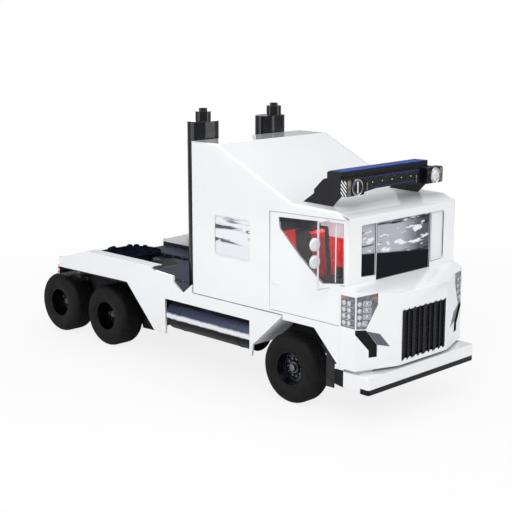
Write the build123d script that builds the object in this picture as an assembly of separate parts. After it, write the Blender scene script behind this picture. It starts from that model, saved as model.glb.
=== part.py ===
from build123d import *
import math
import os

# Highway tractor unit, cab over the front axle, two driven rear axles.
# Millimetres. +Z is up, the front faces -Y, and X runs across the vehicle.
# Stations are distances behind the front axle. The finished pieces are moved
# together by TO_ORIGIN, so that the origin is on the ground at mid length.

# ---- Running gear -----------------------------------------------------------
TYRE_RADIUS = 534.0
RIM_RADIUS = 269.0
FRONT_TYRE_WIDTH = 400.0
REAR_TYRE_WIDTH = 480.0
WHEEL_FACE = 1200.0
FIRST_DRIVE_STATION = 4418.0
BOGIE_SPREAD = 1370.0
KINGPIN_OFFSET = 775.0
KINGPIN_RADIUS = 24.0
RUNNING_GAP = 0.3
MOVING_GAP = 7.0

# ---- Frame ------------------------------------------------------------------
RAIL_OUTER = 430.0
RAIL_FLANGE = 80.0
RAIL_PLATE = 10.0
RAIL_BOTTOM = 760.0
RAIL_HEIGHT = 270.0
RAIL_FRONT = -1330.0
RAIL_REAR = 6180.0
FRONT_MEMBER = -1320.0
MEMBER_BOTTOM = 800.0
MEMBER_HEIGHT = 190.0
OUTRIGGER_BOTTOM = 1110.0
OUTRIGGER_HEIGHT = 50.0
OUTRIGGER_LENGTH = 60.0
CAB_REST_STATION = 1880.0

# ---- Body shell -------------------------------------------------------------
BODY_HALF = 1250.0
WALL = 45.0
NOSE_WALL = 30.0
FRONT_FACE = -1600.0
NOSE_FACE = -1586.0
FLAT_HALF = 576.0
CORNER_STATION = -1340.0
NOSE_BACK = -1060.0
NOSE_TOP_FRONT = 1850.0
SILL_STATION = -1180.0
SILL_HEIGHT = 1990.0
CAB_BOTTOM = 800.0
CAB_SIDE_BOTTOM = 1370.0
CAB_BACK = 2045.0
FLOOR_THICKNESS = 45.0
ARCH_TOP = 1295.0
ARCH_BACK = 60.0
LEDGE_STATION = -950.0
LEDGE_HEIGHT = 3030.0
LEDGE_RISE = 20.0
BROW_DROP = 90.0
SLOPE_START = -100.0
ROOF_ROUND = 30.0
CREASE_STATION = 1470.0
ROOF_HEIGHT = 3780.0

# ---- Bumper and tilt pivot --------------------------------------------------
BUMPER_TOP = 760.0
BUMPER_BOTTOM = 582.0
BUMPER_DEPTH = 230.0
BUMPER_ROUND = 40.0
RETURN_BACK = -1130.0
RETURN_BOTTOM = 519.0
LIP_BOTTOM = 504.0
LIP_BACK = -1447.0
FLAP_BACK = -960.0
FLAP_RISE = 25.0
FLAP_INSET = 10.0
PIVOT_STATION = -1529.0
PIVOT_HEIGHT = 829.0
PIVOT_EYE_RADIUS = 22.0
PIVOT_PIN_RADIUS = 10.0
PIVOT_X = 360.0
PIVOT_EYE_WIDTH = 60.0
LUG_WIDTH = 14.0

# ---- Grille and lamps -------------------------------------------------------
GRILLE_HALF = 505.0
GRILLE_BOTTOM = 880.0
GRILLE_TOP = 1590.0
# slat widths from one end to the other; the mesh strips share what is left
SLAT_WIDTHS = (42.0, 36.0, 71.0, 36.0, 71.0, 36.0, 71.0, 36.0, 42.0)
SLAT_PROUD = 12.0
SLAT_OVERHANG = 20.0
MESH_PITCH = 55.0
MESH_BAR = 24.0
SCREEN_SHEET = 8.0
LAMP_TOP_INNER = 1900.0
LAMP_TOP_OUTER = 1865.0
LAMP_BOTTOM = 1415.0
LAMP_INNER = 905.0
LAMP_BACK = -1070.0
LAMP_DEPTH = 26.0
LAMP_RECESS = 10.0
LAMP_ROWS = 4
LAMP_FIRST_ROW = 1483.0
LAMP_PITCH = 94.0
LENS_RADIUS = 34.0
SIDE_LENSES = (-1125.0, -1215.0)
SLANT_LENS = 1190.0
REFLECTOR_X = 1075.0
REFLECTOR_LENGTH = 140.0
REFLECTOR_CUT = 44.0
REFLECTOR_HEIGHT = 74.0

# ---- Doors and windows ------------------------------------------------------
DOOR_FRONT = -1128.0
DOOR_INSET = 10.0
HINGE_RADIUS = 6.0
HINGE_PIN_RADIUS = 3.0
HINGE_LENGTH = 60.0
DOOR_LOWER_FRONT = -1040.0
DOOR_REAR = 330.0
DOOR_SILL = 40.0
DOOR_HEADER = 25.0
GLASS = 6.0
WINDOW_ROUND = 30.0
SCREEN_HEADER = 120.0
SCREEN_HALF = 620.0
SCREEN_BAR = 24.0
QUARTER_HALF = 950.0
QUARTER_STEP = 77.0
SLEEPER_FRONT = 731.0
SLEEPER_REAR = 1530.0
SLEEPER_BOTTOM = 2050.0
SLEEPER_TOP = 2700.0

# ---- Mirrors ----------------------------------------------------------------
MIRROR_POST_X = 1470.0
MIRROR_STATION = -830.0
MIRROR_HEAD_X = 1530.0
MIRROR_HEIGHTS = (2340.0, 2585.0)
MIRROR_RADIUS = 95.0
MIRROR_DEPTH = 44.0
POST_RADIUS = 14.0
ARM_RADIUS = 11.0

# ---- Roof visor and lamp bar ------------------------------------------------
CHEEK_OUTER = 1000.0
CHEEK_THICKNESS = 30.0
BAR_HALF = 1100.0
POD_INNER = 720.0
POD_FRONT = -1020.0
POD_BACK = -900.0
BAR_FRONT = -930.0
BAR_BACK = -818.0
BAR_ARCH = 40.0
ROOF_LAMP_X = 900.0
ROOF_LAMP_RADIUS = 118.0
ROOF_LAMP_PROUD = 30.0
AMBER_WIDTH = 70.0

# ---- Side fairing, tank, deck, fifth wheel ----------------------------------
FAIRING_WALL = 40.0
FAIRING_TOP = 1635.0
FAIRING_FLANGE = 240.0
FAIRING_RISE = 3060.0
FAIRING_FALL = 4840.0
FAIRING_REAR = 5650.0
TANK_FRONT = 770.0
TANK_REAR = 2710.0
TANK_RADIUS = 265.0
TANK_HEIGHT = 875.0
TANK_GAP = 12.0
STRAP = 4.0
DECK_TOP = 1300.0
DECK_THICKNESS = 12.0
DECK_FRONT = 2075.0
DECK_REAR = 4150.0
WING_INNER = 680.0
WING_REAR = 5560.0
APPROACH_HALF = 500.0
APPROACH_TIP = 190.0
APPROACH_REAR = 4540.0
BAND_WIDTH = 90.0
BAND_HEIGHT = 4.0
FIFTH_STATION = 5060.0
FIFTH_TOP = 1430.0
FIFTH_HALF = 500.0
FIFTH_THICKNESS = 60.0
FIFTH_PIN_DROP = 95.0
EAR_X = 330.0
EAR_WIDTH = 40.0
EAR_RADIUS = 29.0
EAR_LUG = 33.0
EAR_PIN_RADIUS = 16.0
JAW_RADIUS = 25.7
JAW_LENGTH = 170.0
THROAT_HALF = 230.0
RAMP_OUTER = 330.0
RAMP_REACH = 130.0
RAMP_START = 330.0
# x and station from the coupling's centre
GREASE_POCKETS = ((180.0, -300.0), (300.0, -60.0), (360.0, 150.0))
STACK_X = 758.0
STACK_STATION = 2300.0
STACK_TOP = 4050.0
SHROUD_HALF_X = 270.0
SHROUD_HALF_Y = 190.0
PIPE_X = 800.0
PIPE_STATION = 2250.0
PIPE_TOP = 4252.0
PIPE_RADIUS = 122.0
COLLAR_RADIUS = 66.0
COLLAR_HEIGHT = 45.0

# ---- Worked out -------------------------------------------------------------
AXLE_HEIGHT = TYRE_RADIUS
RAIL_TOP = RAIL_BOTTOM + RAIL_HEIGHT
OUTRIGGER_TOP = OUTRIGGER_BOTTOM + OUTRIGGER_HEIGHT
SCREEN_TOP = LEDGE_HEIGHT - BROW_DROP
DOOR_TOP = SCREEN_TOP - DOOR_HEADER
DOOR_BOTTOM = CAB_SIDE_BOTTOM + DOOR_SILL
HINGE_HEIGHTS = (SILL_HEIGHT + 90.0, DOOR_TOP - 115.0)
INNER_HALF = BODY_HALF - WALL
DOOR_SKIN = BODY_HALF - DOOR_INSET
SECOND_DRIVE_STATION = FIRST_DRIVE_STATION + BOGIE_SPREAD
FRONT_TRACK = WHEEL_FACE - FRONT_TYRE_WIDTH / 2
REAR_TRACK = WHEEL_FACE - REAR_TYRE_WIDTH / 2
TYRE_REAR = SECOND_DRIVE_STATION + TYRE_RADIUS
TO_ORIGIN = Location((0, -(FRONT_FACE + TYRE_REAR) / 2, 0))
DRIVE_STATIONS = (FIRST_DRIVE_STATION, SECOND_DRIVE_STATION)
REAR_MEMBER = (FIRST_DRIVE_STATION + SECOND_DRIVE_STATION) / 2
OUTRIGGER_STATIONS = (TANK_REAR + 80.0, TANK_REAR + 740.0, REAR_MEMBER)
TANK_STRAPS = (TANK_FRONT + 300.0, TANK_REAR - 300.0)
SLAT_GAP = (2 * GRILLE_HALF - sum(SLAT_WIDTHS)) / (len(SLAT_WIDTHS) - 1)


# ---- Helpers ----------------------------------------------------------------
def block(x0, x1, y0, y1, z0, z1):
    """A box between two opposite corners."""
    size = Box(x1 - x0, y1 - y0, z1 - z0)
    return Pos((x0 + x1) / 2, (y0 + y1) / 2, (z0 + z1) / 2) * size


def side_prism(points, x0, x1):
    """A (y, z) outline, extruded across the vehicle."""
    face = make_face(Polyline(*points, close=True))
    return extrude(Plane.YZ.offset(x0) * face, amount=x1 - x0)


def plan_prism(points, z0, z1):
    """An (x, y) outline, extruded upwards."""
    face = make_face(Polyline(*points, close=True))
    return extrude(Plane.XY.offset(z0) * face, amount=z1 - z0)


def front_prism(points, y0, y1):
    """An (x, z) outline, extruded towards the rear."""
    face = make_face(Polyline(*points, close=True))
    return extrude(Plane.XZ.offset(-y0) * face, amount=-(y1 - y0))


def rod(start, end, radius):
    """A round bar between two points."""
    line = Line(start, end)
    return extrude(Plane(origin=start, z_dir=line % 0) * Circle(radius), amount=line.length)


def both_sides(shape):
    """The shape and its mirror image across the vehicle's centre plane."""
    return Compound(children=[*shape.solids(), *mirror(shape, Plane.YZ).solids()])


def handed(shape, side):
    """The shape itself on the +X side, its mirror image on the -X side."""
    return shape if side > 0 else mirror(shape, Plane.YZ)


def save(node, shape):
    """Writes one sub-part, moved to the vehicle's own origin."""
    export_step(TO_ORIGIN * Compound(children=list(shape.solids())), f"parts/{node}.step")


# ---- Frame ------------------------------------------------------------------
def make_frame():
    """The two channel rails."""
    rail = block(RAIL_OUTER - RAIL_FLANGE, RAIL_OUTER, RAIL_FRONT, RAIL_REAR, RAIL_BOTTOM, RAIL_TOP)
    rail -= block(0, RAIL_OUTER - RAIL_PLATE, RAIL_FRONT - 1, RAIL_REAR + 1,
                  RAIL_BOTTOM + RAIL_PLATE, RAIL_TOP - RAIL_PLATE)
    return both_sides(rail)


def make_crossmembers():
    """Members between the rails, outriggers over them, cab rests, tank and tilt brackets."""
    inner = RAIL_OUTER - RAIL_FLANGE
    web_x = RAIL_OUTER - RAIL_PLATE
    pieces = []
    # station, length along the vehicle, bottom, top
    members = (
        (1500.0, 110.0, MEMBER_BOTTOM, MEMBER_BOTTOM + MEMBER_HEIGHT),
        (2600.0, 110.0, MEMBER_BOTTOM, MEMBER_BOTTOM + MEMBER_HEIGHT),
        (3700.0, 110.0, MEMBER_BOTTOM, MEMBER_BOTTOM + MEMBER_HEIGHT),
        (REAR_MEMBER, 160.0, MEMBER_BOTTOM, MEMBER_BOTTOM + MEMBER_HEIGHT),
        (RAIL_REAR - 60, 120.0, RAIL_BOTTOM + RAIL_PLATE, RAIL_TOP - RAIL_PLATE),
    )
    for station, length, bottom, top in members:
        pieces.append(block(-web_x, web_x, station - length / 2, station + length / 2, bottom, top))
    half = OUTRIGGER_LENGTH / 2
    beam_half = BODY_HALF - FAIRING_WALL
    for station in OUTRIGGER_STATIONS:
        beam = block(-beam_half, beam_half, station - half, station + half,
                     OUTRIGGER_BOTTOM, OUTRIGGER_TOP)
        post = block(inner, RAIL_OUTER, station - half, station + half, RAIL_TOP, OUTRIGGER_BOTTOM)
        pieces.append(beam + post + mirror(post, Plane.YZ))
    rest = block(inner, RAIL_OUTER, CAB_REST_STATION, CAB_REST_STATION + 80, RAIL_TOP,
                 CAB_SIDE_BOTTOM)
    pieces += both_sides(rest).solids()
    centre = BODY_HALF - TANK_RADIUS
    tank = rod((centre, TANK_FRONT, TANK_HEIGHT), (centre, TANK_REAR, TANK_HEIGHT), TANK_RADIUS)
    for station in TANK_STRAPS:
        bracket = block(RAIL_OUTER, centre, station - 45, station + 45, RAIL_BOTTOM + 10,
                        RAIL_BOTTOM + 110)
        pieces += both_sides(bracket - tank).solids()
    return Compound(children=[*pieces, make_front_member()])


def make_front_member():
    """Front cross-member with the arms to the two eyes on which the cab tilts."""
    web_x = RAIL_OUTER - RAIL_PLATE
    member = block(-web_x, web_x, FRONT_MEMBER, FRONT_MEMBER + 100, RAIL_BOTTOM + 20,
                   RAIL_TOP - 70)
    arm = block(PIVOT_X - PIVOT_EYE_WIDTH / 2, PIVOT_X + PIVOT_EYE_WIDTH / 2,
                PIVOT_STATION, FRONT_MEMBER, PIVOT_HEIGHT - PIVOT_EYE_RADIUS,
                PIVOT_HEIGHT + PIVOT_EYE_RADIUS)
    eye = rod((PIVOT_X - PIVOT_EYE_WIDTH / 2, PIVOT_STATION, PIVOT_HEIGHT),
              (PIVOT_X + PIVOT_EYE_WIDTH / 2, PIVOT_STATION, PIVOT_HEIGHT), PIVOT_EYE_RADIUS)
    hole = rod((PIVOT_X - PIVOT_EYE_WIDTH, PIVOT_STATION, PIVOT_HEIGHT),
               (PIVOT_X + PIVOT_EYE_WIDTH, PIVOT_STATION, PIVOT_HEIGHT),
               PIVOT_PIN_RADIUS + RUNNING_GAP)
    bracket = arm + eye - hole
    return (member + bracket + mirror(bracket, Plane.YZ)).solid()


# ---- Axles, steering, suspension --------------------------------------------
BEAM_HALF_WIDTH = 45.0
BEAM_HALF_HEIGHT = 40.0
BEAM_DROP = 90.0
BEAM_LEVEL = 110.0
KNUCKLE_GAP = 2.0
STUB_RADIUS = 36.0
ARM_LENGTH = 210.0
TIE_ROD_RADIUS = 18.0


def make_front_axle():
    """Dropped forged beam with a vertical boss at each end for the kingpin."""
    low = AXLE_HEIGHT - BEAM_DROP
    outline = (
        (-KINGPIN_OFFSET, AXLE_HEIGHT + BEAM_HALF_HEIGHT),
        (-KINGPIN_OFFSET, AXLE_HEIGHT - BEAM_HALF_HEIGHT),
        (-KINGPIN_OFFSET + BEAM_LEVEL, AXLE_HEIGHT - BEAM_HALF_HEIGHT),
        (-560.0, low - BEAM_HALF_HEIGHT),
        (560.0, low - BEAM_HALF_HEIGHT),
        (KINGPIN_OFFSET - BEAM_LEVEL, AXLE_HEIGHT - BEAM_HALF_HEIGHT),
        (KINGPIN_OFFSET, AXLE_HEIGHT - BEAM_HALF_HEIGHT),
        (KINGPIN_OFFSET, AXLE_HEIGHT + BEAM_HALF_HEIGHT),
        (540.0, low + BEAM_HALF_HEIGHT),
        (-540.0, low + BEAM_HALF_HEIGHT),
    )
    beam = front_prism(outline, -BEAM_HALF_WIDTH, BEAM_HALF_WIDTH)
    for side in (-1, 1):
        centre = side * KINGPIN_OFFSET
        beam += rod((centre, 0, AXLE_HEIGHT - BEAM_HALF_HEIGHT),
                    (centre, 0, AXLE_HEIGHT + BEAM_HALF_HEIGHT), BEAM_HALF_WIDTH + 5)
        beam -= rod((centre, 0, AXLE_HEIGHT - 200), (centre, 0, AXLE_HEIGHT + 200),
                    KINGPIN_RADIUS + RUNNING_GAP)
    return beam


def make_knuckle(side):
    """Forked steering knuckle with its kingpin, stub axle and steering arm."""
    gap_half = BEAM_HALF_HEIGHT + KNUCKLE_GAP
    fork_x0 = KINGPIN_OFFSET - 42
    fork_x1 = KINGPIN_OFFSET + 80
    knuckle = block(fork_x0, fork_x1, -42, 42, AXLE_HEIGHT - gap_half - 34, AXLE_HEIGHT + gap_half + 34)
    knuckle -= block(fork_x0 - 1, KINGPIN_OFFSET + 58, -43, 43,
                     AXLE_HEIGHT - gap_half, AXLE_HEIGHT + gap_half)
    knuckle += rod((KINGPIN_OFFSET, 0, AXLE_HEIGHT - gap_half - 40),
                   (KINGPIN_OFFSET, 0, AXLE_HEIGHT + gap_half + 40), KINGPIN_RADIUS)
    knuckle += rod((fork_x1 - 5, 0, AXLE_HEIGHT), (FRONT_TRACK + 40, 0, AXLE_HEIGHT), STUB_RADIUS)
    arm_top = AXLE_HEIGHT - gap_half
    knuckle += block(KINGPIN_OFFSET - 22, KINGPIN_OFFSET + 22, 30, ARM_LENGTH + 25,
                     arm_top - 34, arm_top)
    knuckle -= rod((KINGPIN_OFFSET, ARM_LENGTH, arm_top - 60),
                   (KINGPIN_OFFSET, ARM_LENGTH, arm_top + 10), 10 + RUNNING_GAP)
    return handed(knuckle, side)


def make_tie_rod():
    """Bar behind the axle that joins the two steering arms."""
    arm_bottom = AXLE_HEIGHT - BEAM_HALF_HEIGHT - KNUCKLE_GAP - 34
    height = arm_bottom - TIE_ROD_RADIUS - 6
    end = KINGPIN_OFFSET
    bar = rod((-end, ARM_LENGTH, height), (end, ARM_LENGTH, height), TIE_ROD_RADIUS)
    for side in (-1, 1):
        bar += rod((side * end, ARM_LENGTH, height), (side * end, ARM_LENGTH, arm_bottom + 30), 10)
    return bar


BANJO_RADIUS = 175.0
PINION_REACH = 215.0
SPINDLE_RADIUS = 55.0
SPRING_SEAT = 85.0
SHAFT_RADIUS = 50.0
GEARBOX_REAR = 1320.0
GEARBOX_OUTPUT = 735.0


def make_drive_axle(station):
    """Banjo axle housing: a round centre, tubes that taper outwards and spindles."""
    spindle_end = REAR_TRACK + 60
    profile = (
        (0, 0), (0, BANJO_RADIUS), (110, BANJO_RADIUS), (210, SPRING_SEAT),
        (RAIL_OUTER, SPRING_SEAT), (560, 70),
        (560, SPINDLE_RADIUS), (spindle_end, SPINDLE_RADIUS), (spindle_end, 0),
    )
    half = make_face(Polyline(*profile, close=True))
    tube = revolve(Plane.XY * half, axis=Axis.X)
    housing = tube + mirror(tube, Plane.YZ)
    housing += rod((0, -PINION_REACH, 0), (0, 100, 0), 130)
    return Pos(0, station, AXLE_HEIGHT) * housing


def make_springs():
    """Leaf springs over the front axle, and the walking beams of the bogie."""
    seat = AXLE_HEIGHT - BEAM_DROP + BEAM_HALF_HEIGHT
    eye_height = RAIL_BOTTOM - 60
    x0 = RAIL_OUTER - 75
    x1 = RAIL_OUTER - 5
    leaves = side_prism(((-780, eye_height - 20), (0, seat), (780, eye_height - 20),
                         (780, eye_height + 20), (0, seat + 60), (-780, eye_height + 20)), x0, x1)
    hangers = block(x0, x1, -800, -740, eye_height - 30, RAIL_BOTTOM)
    hangers += block(x0, x1, 740, 800, eye_height - 30, RAIL_BOTTOM)
    front = leaves + hangers
    centre = (FIRST_DRIVE_STATION + SECOND_DRIVE_STATION) / 2
    reach = BOGIE_SPREAD / 2
    top = AXLE_HEIGHT + SPRING_SEAT + RUNNING_GAP
    outline = ((centre - reach - 90, top), (centre - reach + 120, top), (centre - 150, top + 20),
               (centre + 150, top + 20), (centre + reach - 120, top), (centre + reach + 90, top),
               (centre + reach + 90, top + 45), (centre + 160, RAIL_BOTTOM),
               (centre - 160, RAIL_BOTTOM), (centre - reach - 90, top + 45))
    rear = side_prism(outline, x0, x1)
    return Compound(children=[*both_sides(front).solids(), *both_sides(rear).solids()])


def make_shafts():
    """Propeller shaft to the first driven axle, and the short shaft between the two."""
    yoke = 30.0
    start = (0, GEARBOX_REAR + yoke - 10, GEARBOX_OUTPUT)
    end = (0, FIRST_DRIVE_STATION - PINION_REACH - yoke + 10, AXLE_HEIGHT)
    front = rod(start, end, SHAFT_RADIUS)
    front += rod((0, GEARBOX_REAR, GEARBOX_OUTPUT), (0, GEARBOX_REAR + yoke, GEARBOX_OUTPUT),
                 SHAFT_RADIUS + 15)
    front += rod((0, FIRST_DRIVE_STATION - PINION_REACH - yoke, AXLE_HEIGHT),
                 (0, FIRST_DRIVE_STATION - PINION_REACH, AXLE_HEIGHT), SHAFT_RADIUS + 15)
    between = rod((0, FIRST_DRIVE_STATION + BANJO_RADIUS, AXLE_HEIGHT),
                  (0, SECOND_DRIVE_STATION - PINION_REACH, AXLE_HEIGHT), SHAFT_RADIUS - 5)
    return Compound(children=[*front.solids(), *between.solids()])


def make_engine():
    """Engine and gearbox as one plain block, and the radiator ahead of them."""
    engine = block(-330, 330, -780, 560, 600, 1290)
    engine += block(-230, 230, 560, GEARBOX_REAR, 660, 1010)
    for station in (-560.0, 420.0):
        engine += block(-RAIL_OUTER + 20, RAIL_OUTER - 20, station, station + 90,
                        RAIL_TOP, RAIL_TOP + 30)
    radiator = block(-340, 340, -1310, -1230, 960, 1330)
    radiator += block(-300, 300, -1230, -1170, 970, 1300)
    return Compound(children=[*engine.solids(), *radiator.solids()])


# ---- Wheels -----------------------------------------------------------------
SIDEWALL_ROUND = 115.0
BEAD_INSET = 30.0
RIM_WALL = 9.0
HUB_RADIUS = 92.0
HAND_HOLES = 8
HAND_HOLE_CIRCLE = 184.0
HAND_HOLE_RADIUS = 24.0
NUTS = 10
NUT_CIRCLE = 133.0
NUT_RADIUS = 17.0
NUT_HEIGHT = 24.0


def make_tyre(width):
    """Smooth round-shouldered tyre on the X axis."""
    half = width / 2
    bead = half - BEAD_INSET
    crown = TYRE_RADIUS
    shoulder = min(SIDEWALL_ROUND, half * 0.6)
    outline = Polyline((bead, RIM_RADIUS), (half, RIM_RADIUS + 90), (half, crown - shoulder))
    outline += RadiusArc((half, crown - shoulder), (half - shoulder, crown), -shoulder)
    outline += Polyline((half - shoulder, crown), (-half + shoulder, crown))
    outline += RadiusArc((-half + shoulder, crown), (-half, crown - shoulder), -shoulder)
    outline += Polyline((-half, crown - shoulder), (-half, RIM_RADIUS + 90),
                        (-bead, RIM_RADIUS), (bead, RIM_RADIUS))
    return revolve(make_face(outline), axis=Axis.X)


def make_rim(width, dish, bore):
    """Deep-dished rim, open to the outside (+X): barrel, disc with hand holes, hub and nuts."""
    half = width / 2 - BEAD_INSET
    outer = RIM_RADIUS
    barrel = (
        (half, outer), (half, outer - RIM_WALL - 12), (half - 20, outer - 20),
        (dish + 60, outer - 26), (dish + 15, outer - 45), (dish + 15, HUB_RADIUS + 20),
        (dish + 45, HUB_RADIUS), (dish + 45, bore),
        (dish - 95, bore), (dish - 95, HUB_RADIUS + 5), (dish - 5, HUB_RADIUS + 20),
        (dish - 5, outer - 60), (-half + 20, outer - 20), (-half, outer - RIM_WALL - 12),
        (-half, outer),
    )
    rim = revolve(make_face(Polyline(*barrel, close=True)), axis=Axis.X)
    disc = Plane.YZ.offset(dish - 10)
    for place in PolarLocations(HAND_HOLE_CIRCLE, HAND_HOLES):
        rim -= extrude(disc * place * Circle(HAND_HOLE_RADIUS), amount=30)
    face = Plane.YZ.offset(dish + 14)
    for place in PolarLocations(NUT_CIRCLE, NUTS):
        rim += extrude(face * place * RegularPolygon(NUT_RADIUS, 6), amount=NUT_HEIGHT)
    return rim


def make_wheel(side, station, track, width, dish, bore):
    """One road wheel: its rim and its tyre, in place."""
    place = Pos(side * track, station, AXLE_HEIGHT)
    rim = place * handed(make_rim(width, dish, bore), side)
    tyre = place * handed(make_tyre(width), side)
    return rim, tyre


# ---- Bumper -----------------------------------------------------------------
def make_bumper():
    """Full-width bumper with returns that end at the front wheel arches."""
    bumper = block(-BODY_HALF, BODY_HALF, FRONT_FACE, FRONT_FACE + BUMPER_DEPTH,
                   BUMPER_BOTTOM, BUMPER_TOP)
    side = block(BODY_HALF - WALL, BODY_HALF, FRONT_FACE, RETURN_BACK, RETURN_BOTTOM, BUMPER_TOP)
    side -= block(0, BODY_HALF + 1, FRONT_FACE - 1, LIP_BACK, RETURN_BOTTOM - 1, BUMPER_BOTTOM)
    bumper += side + mirror(side, Plane.YZ)
    corners = bumper.edges().filter_by(Axis.Z).group_by(Axis.Y)[0]
    bumper = fillet(corners, BUMPER_ROUND)
    stay = block(RAIL_OUTER - 60, RAIL_OUTER, FRONT_FACE + BUMPER_DEPTH, -1220,
                 RAIL_BOTTOM - 110, RAIL_BOTTOM)
    return bumper + stay + mirror(stay, Plane.YZ)


def make_lip():
    """Dark strip along the bumper's lower edge, and a flap behind each of the bumper's returns."""
    lip = block(-BODY_HALF, BODY_HALF, FRONT_FACE, LIP_BACK, LIP_BOTTOM, BUMPER_BOTTOM)
    lip = fillet(lip.edges().filter_by(Axis.Z).group_by(Axis.Y)[0], BUMPER_ROUND)
    flap = side_prism(((RETURN_BACK, RETURN_BOTTOM), (RETURN_BACK, BUMPER_TOP), (FLAP_BACK, BUMPER_TOP),
                       (FLAP_BACK, RETURN_BOTTOM + FLAP_RISE)), BODY_HALF - WALL, BODY_HALF - FLAP_INSET)
    return Compound(children=[*lip.solids(), *both_sides(flap).solids()])


# ---- Cab --------------------------------------------------------------------
def nose_plan(inset, back):
    """The nose's plan outline, moved inwards by the inset."""
    turn = math.atan2(CORNER_STATION - NOSE_FACE, BODY_HALF - FLAT_HALF)
    flat = FLAT_HALF - inset * math.tan(turn / 2)
    corner = CORNER_STATION + inset * math.tan((math.pi / 2 - turn) / 2)
    half = BODY_HALF - inset
    face = NOSE_FACE + inset
    return ((half, back), (half, corner), (flat, face), (-flat, face), (-half, corner), (-half, back))


def above_nose(drop):
    """The space over the nose's sloping top, lowered by the drop."""
    points = (
        (FRONT_FACE - 100, NOSE_TOP_FRONT - drop
         - 100 * (SILL_HEIGHT - NOSE_TOP_FRONT) / (SILL_STATION - FRONT_FACE)),
        (SILL_STATION, SILL_HEIGHT - drop),
        (NOSE_BACK + 500, SILL_HEIGHT - drop),
        (NOSE_BACK + 500, SILL_HEIGHT + 500),
        (FRONT_FACE - 100, SILL_HEIGHT + 500),
    )
    return side_prism(points, -BODY_HALF - 10, BODY_HALF + 10)


LAMP_OUTLINE = ((BODY_HALF + 5, LAMP_TOP_OUTER), (LAMP_INNER, LAMP_TOP_INNER), (LAMP_INNER, 1735.0),
                (1080.0, LAMP_BOTTOM - 20), (BODY_HALF + 5, LAMP_BOTTOM))
GROOVE_OUTLINE = ((BODY_HALF + 5, 1400.0), (1090.0, 1385.0), (915.0, 1150.0), (915.0, 980.0),
                  (1040.0, 980.0), (1040.0, 1085.0), (BODY_HALF + 5, 1345.0))


def make_cab_front():
    """Nose shell and windscreen frame, with lamp pockets, corner ducts and grille opening."""
    shell = plan_prism(nose_plan(0, NOSE_BACK), CAB_BOTTOM, SILL_HEIGHT) - above_nose(0)
    hollow = plan_prism(nose_plan(NOSE_WALL, NOSE_BACK + 400), CAB_BOTTOM - 1, SILL_HEIGHT)
    shell -= hollow - above_nose(NOSE_WALL)
    shell -= block(-GRILLE_HALF, GRILLE_HALF, NOSE_FACE - 1, NOSE_FACE + NOSE_WALL + 1,
                   GRILLE_BOTTOM, GRILLE_TOP)
    lamp = lamp_body()
    duct = front_prism(GROOVE_OUTLINE, FRONT_FACE, CORNER_STATION + 4)
    duct &= plan_prism(nose_plan(-1, NOSE_BACK), CAB_BOTTOM, SILL_HEIGHT)
    duct -= plan_prism(nose_plan(18, NOSE_BACK + 10), CAB_BOTTOM, SILL_HEIGHT)
    shell -= lamp + mirror(lamp, Plane.YZ)
    shell -= duct + mirror(duct, Plane.YZ)
    frame = block(-BODY_HALF, BODY_HALF, SILL_STATION, SILL_STATION + WALL, SILL_HEIGHT, SCREEN_TOP)
    frame = fillet(frame.edges().filter_by(Axis.Z).group_by(Axis.Y)[0], ROOF_ROUND)
    frame -= screen_openings(FRONT_FACE, 0)
    lugs = None
    for offset in (-1, 1):
        x_mid = PIVOT_X + offset * (PIVOT_EYE_WIDTH / 2 + MOVING_GAP + LUG_WIDTH / 2)
        lug = block(x_mid - LUG_WIDTH / 2, x_mid + LUG_WIDTH / 2, NOSE_FACE + NOSE_WALL,
                    PIVOT_STATION, PIVOT_HEIGHT - 18, PIVOT_HEIGHT + 60)
        lug += rod((x_mid - LUG_WIDTH / 2, PIVOT_STATION, PIVOT_HEIGHT),
                   (x_mid + LUG_WIDTH / 2, PIVOT_STATION, PIVOT_HEIGHT), 18)
        lugs = lug if lugs is None else lugs + lug
    reach = PIVOT_EYE_WIDTH / 2 + MOVING_GAP + LUG_WIDTH
    lugs += rod((PIVOT_X - reach, PIVOT_STATION, PIVOT_HEIGHT),
                (PIVOT_X + reach, PIVOT_STATION, PIVOT_HEIGHT), PIVOT_PIN_RADIUS)
    leaves = hinge_leaves()
    return shell + frame + lugs + mirror(lugs, Plane.YZ) + leaves + mirror(leaves, Plane.YZ)


def screen_openings(y0, y1):
    """The windscreen's main opening and its two quarter openings, with rounded corners."""
    top = SCREEN_TOP - SCREEN_HEADER
    low = SILL_HEIGHT + 8
    main = block(-SCREEN_HALF, SCREEN_HALF, y0, y1, low, top)
    quarter = front_prism(((SCREEN_HALF + SCREEN_BAR, low + QUARTER_STEP),
                           (QUARTER_HALF, low + QUARTER_STEP + 15), (QUARTER_HALF, top),
                           (SCREEN_HALF + SCREEN_BAR, top)), y0, y1)
    quarter = fillet(quarter.edges().filter_by(Axis.Y).group_by(Axis.X)[-1], WINDOW_ROUND)
    return main + quarter + mirror(quarter, Plane.YZ)


def lamp_body():
    """The pocket of one headlamp unit, wrapped round the nose's corner on the +X side."""
    return lamp_skin(0, LAMP_DEPTH)


def lamp_skin(outside, inside):
    """The headlamp's outline, cut from the nose's shape between two insets."""
    region = front_prism(LAMP_OUTLINE, FRONT_FACE, LAMP_BACK)
    skin = plan_prism(nose_plan(outside, LAMP_BACK), LAMP_BOTTOM - 100, SILL_HEIGHT)
    skin -= plan_prism(nose_plan(inside, LAMP_BACK + 10), LAMP_BOTTOM - 101, SILL_HEIGHT + 1)
    return region & skin


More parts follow.
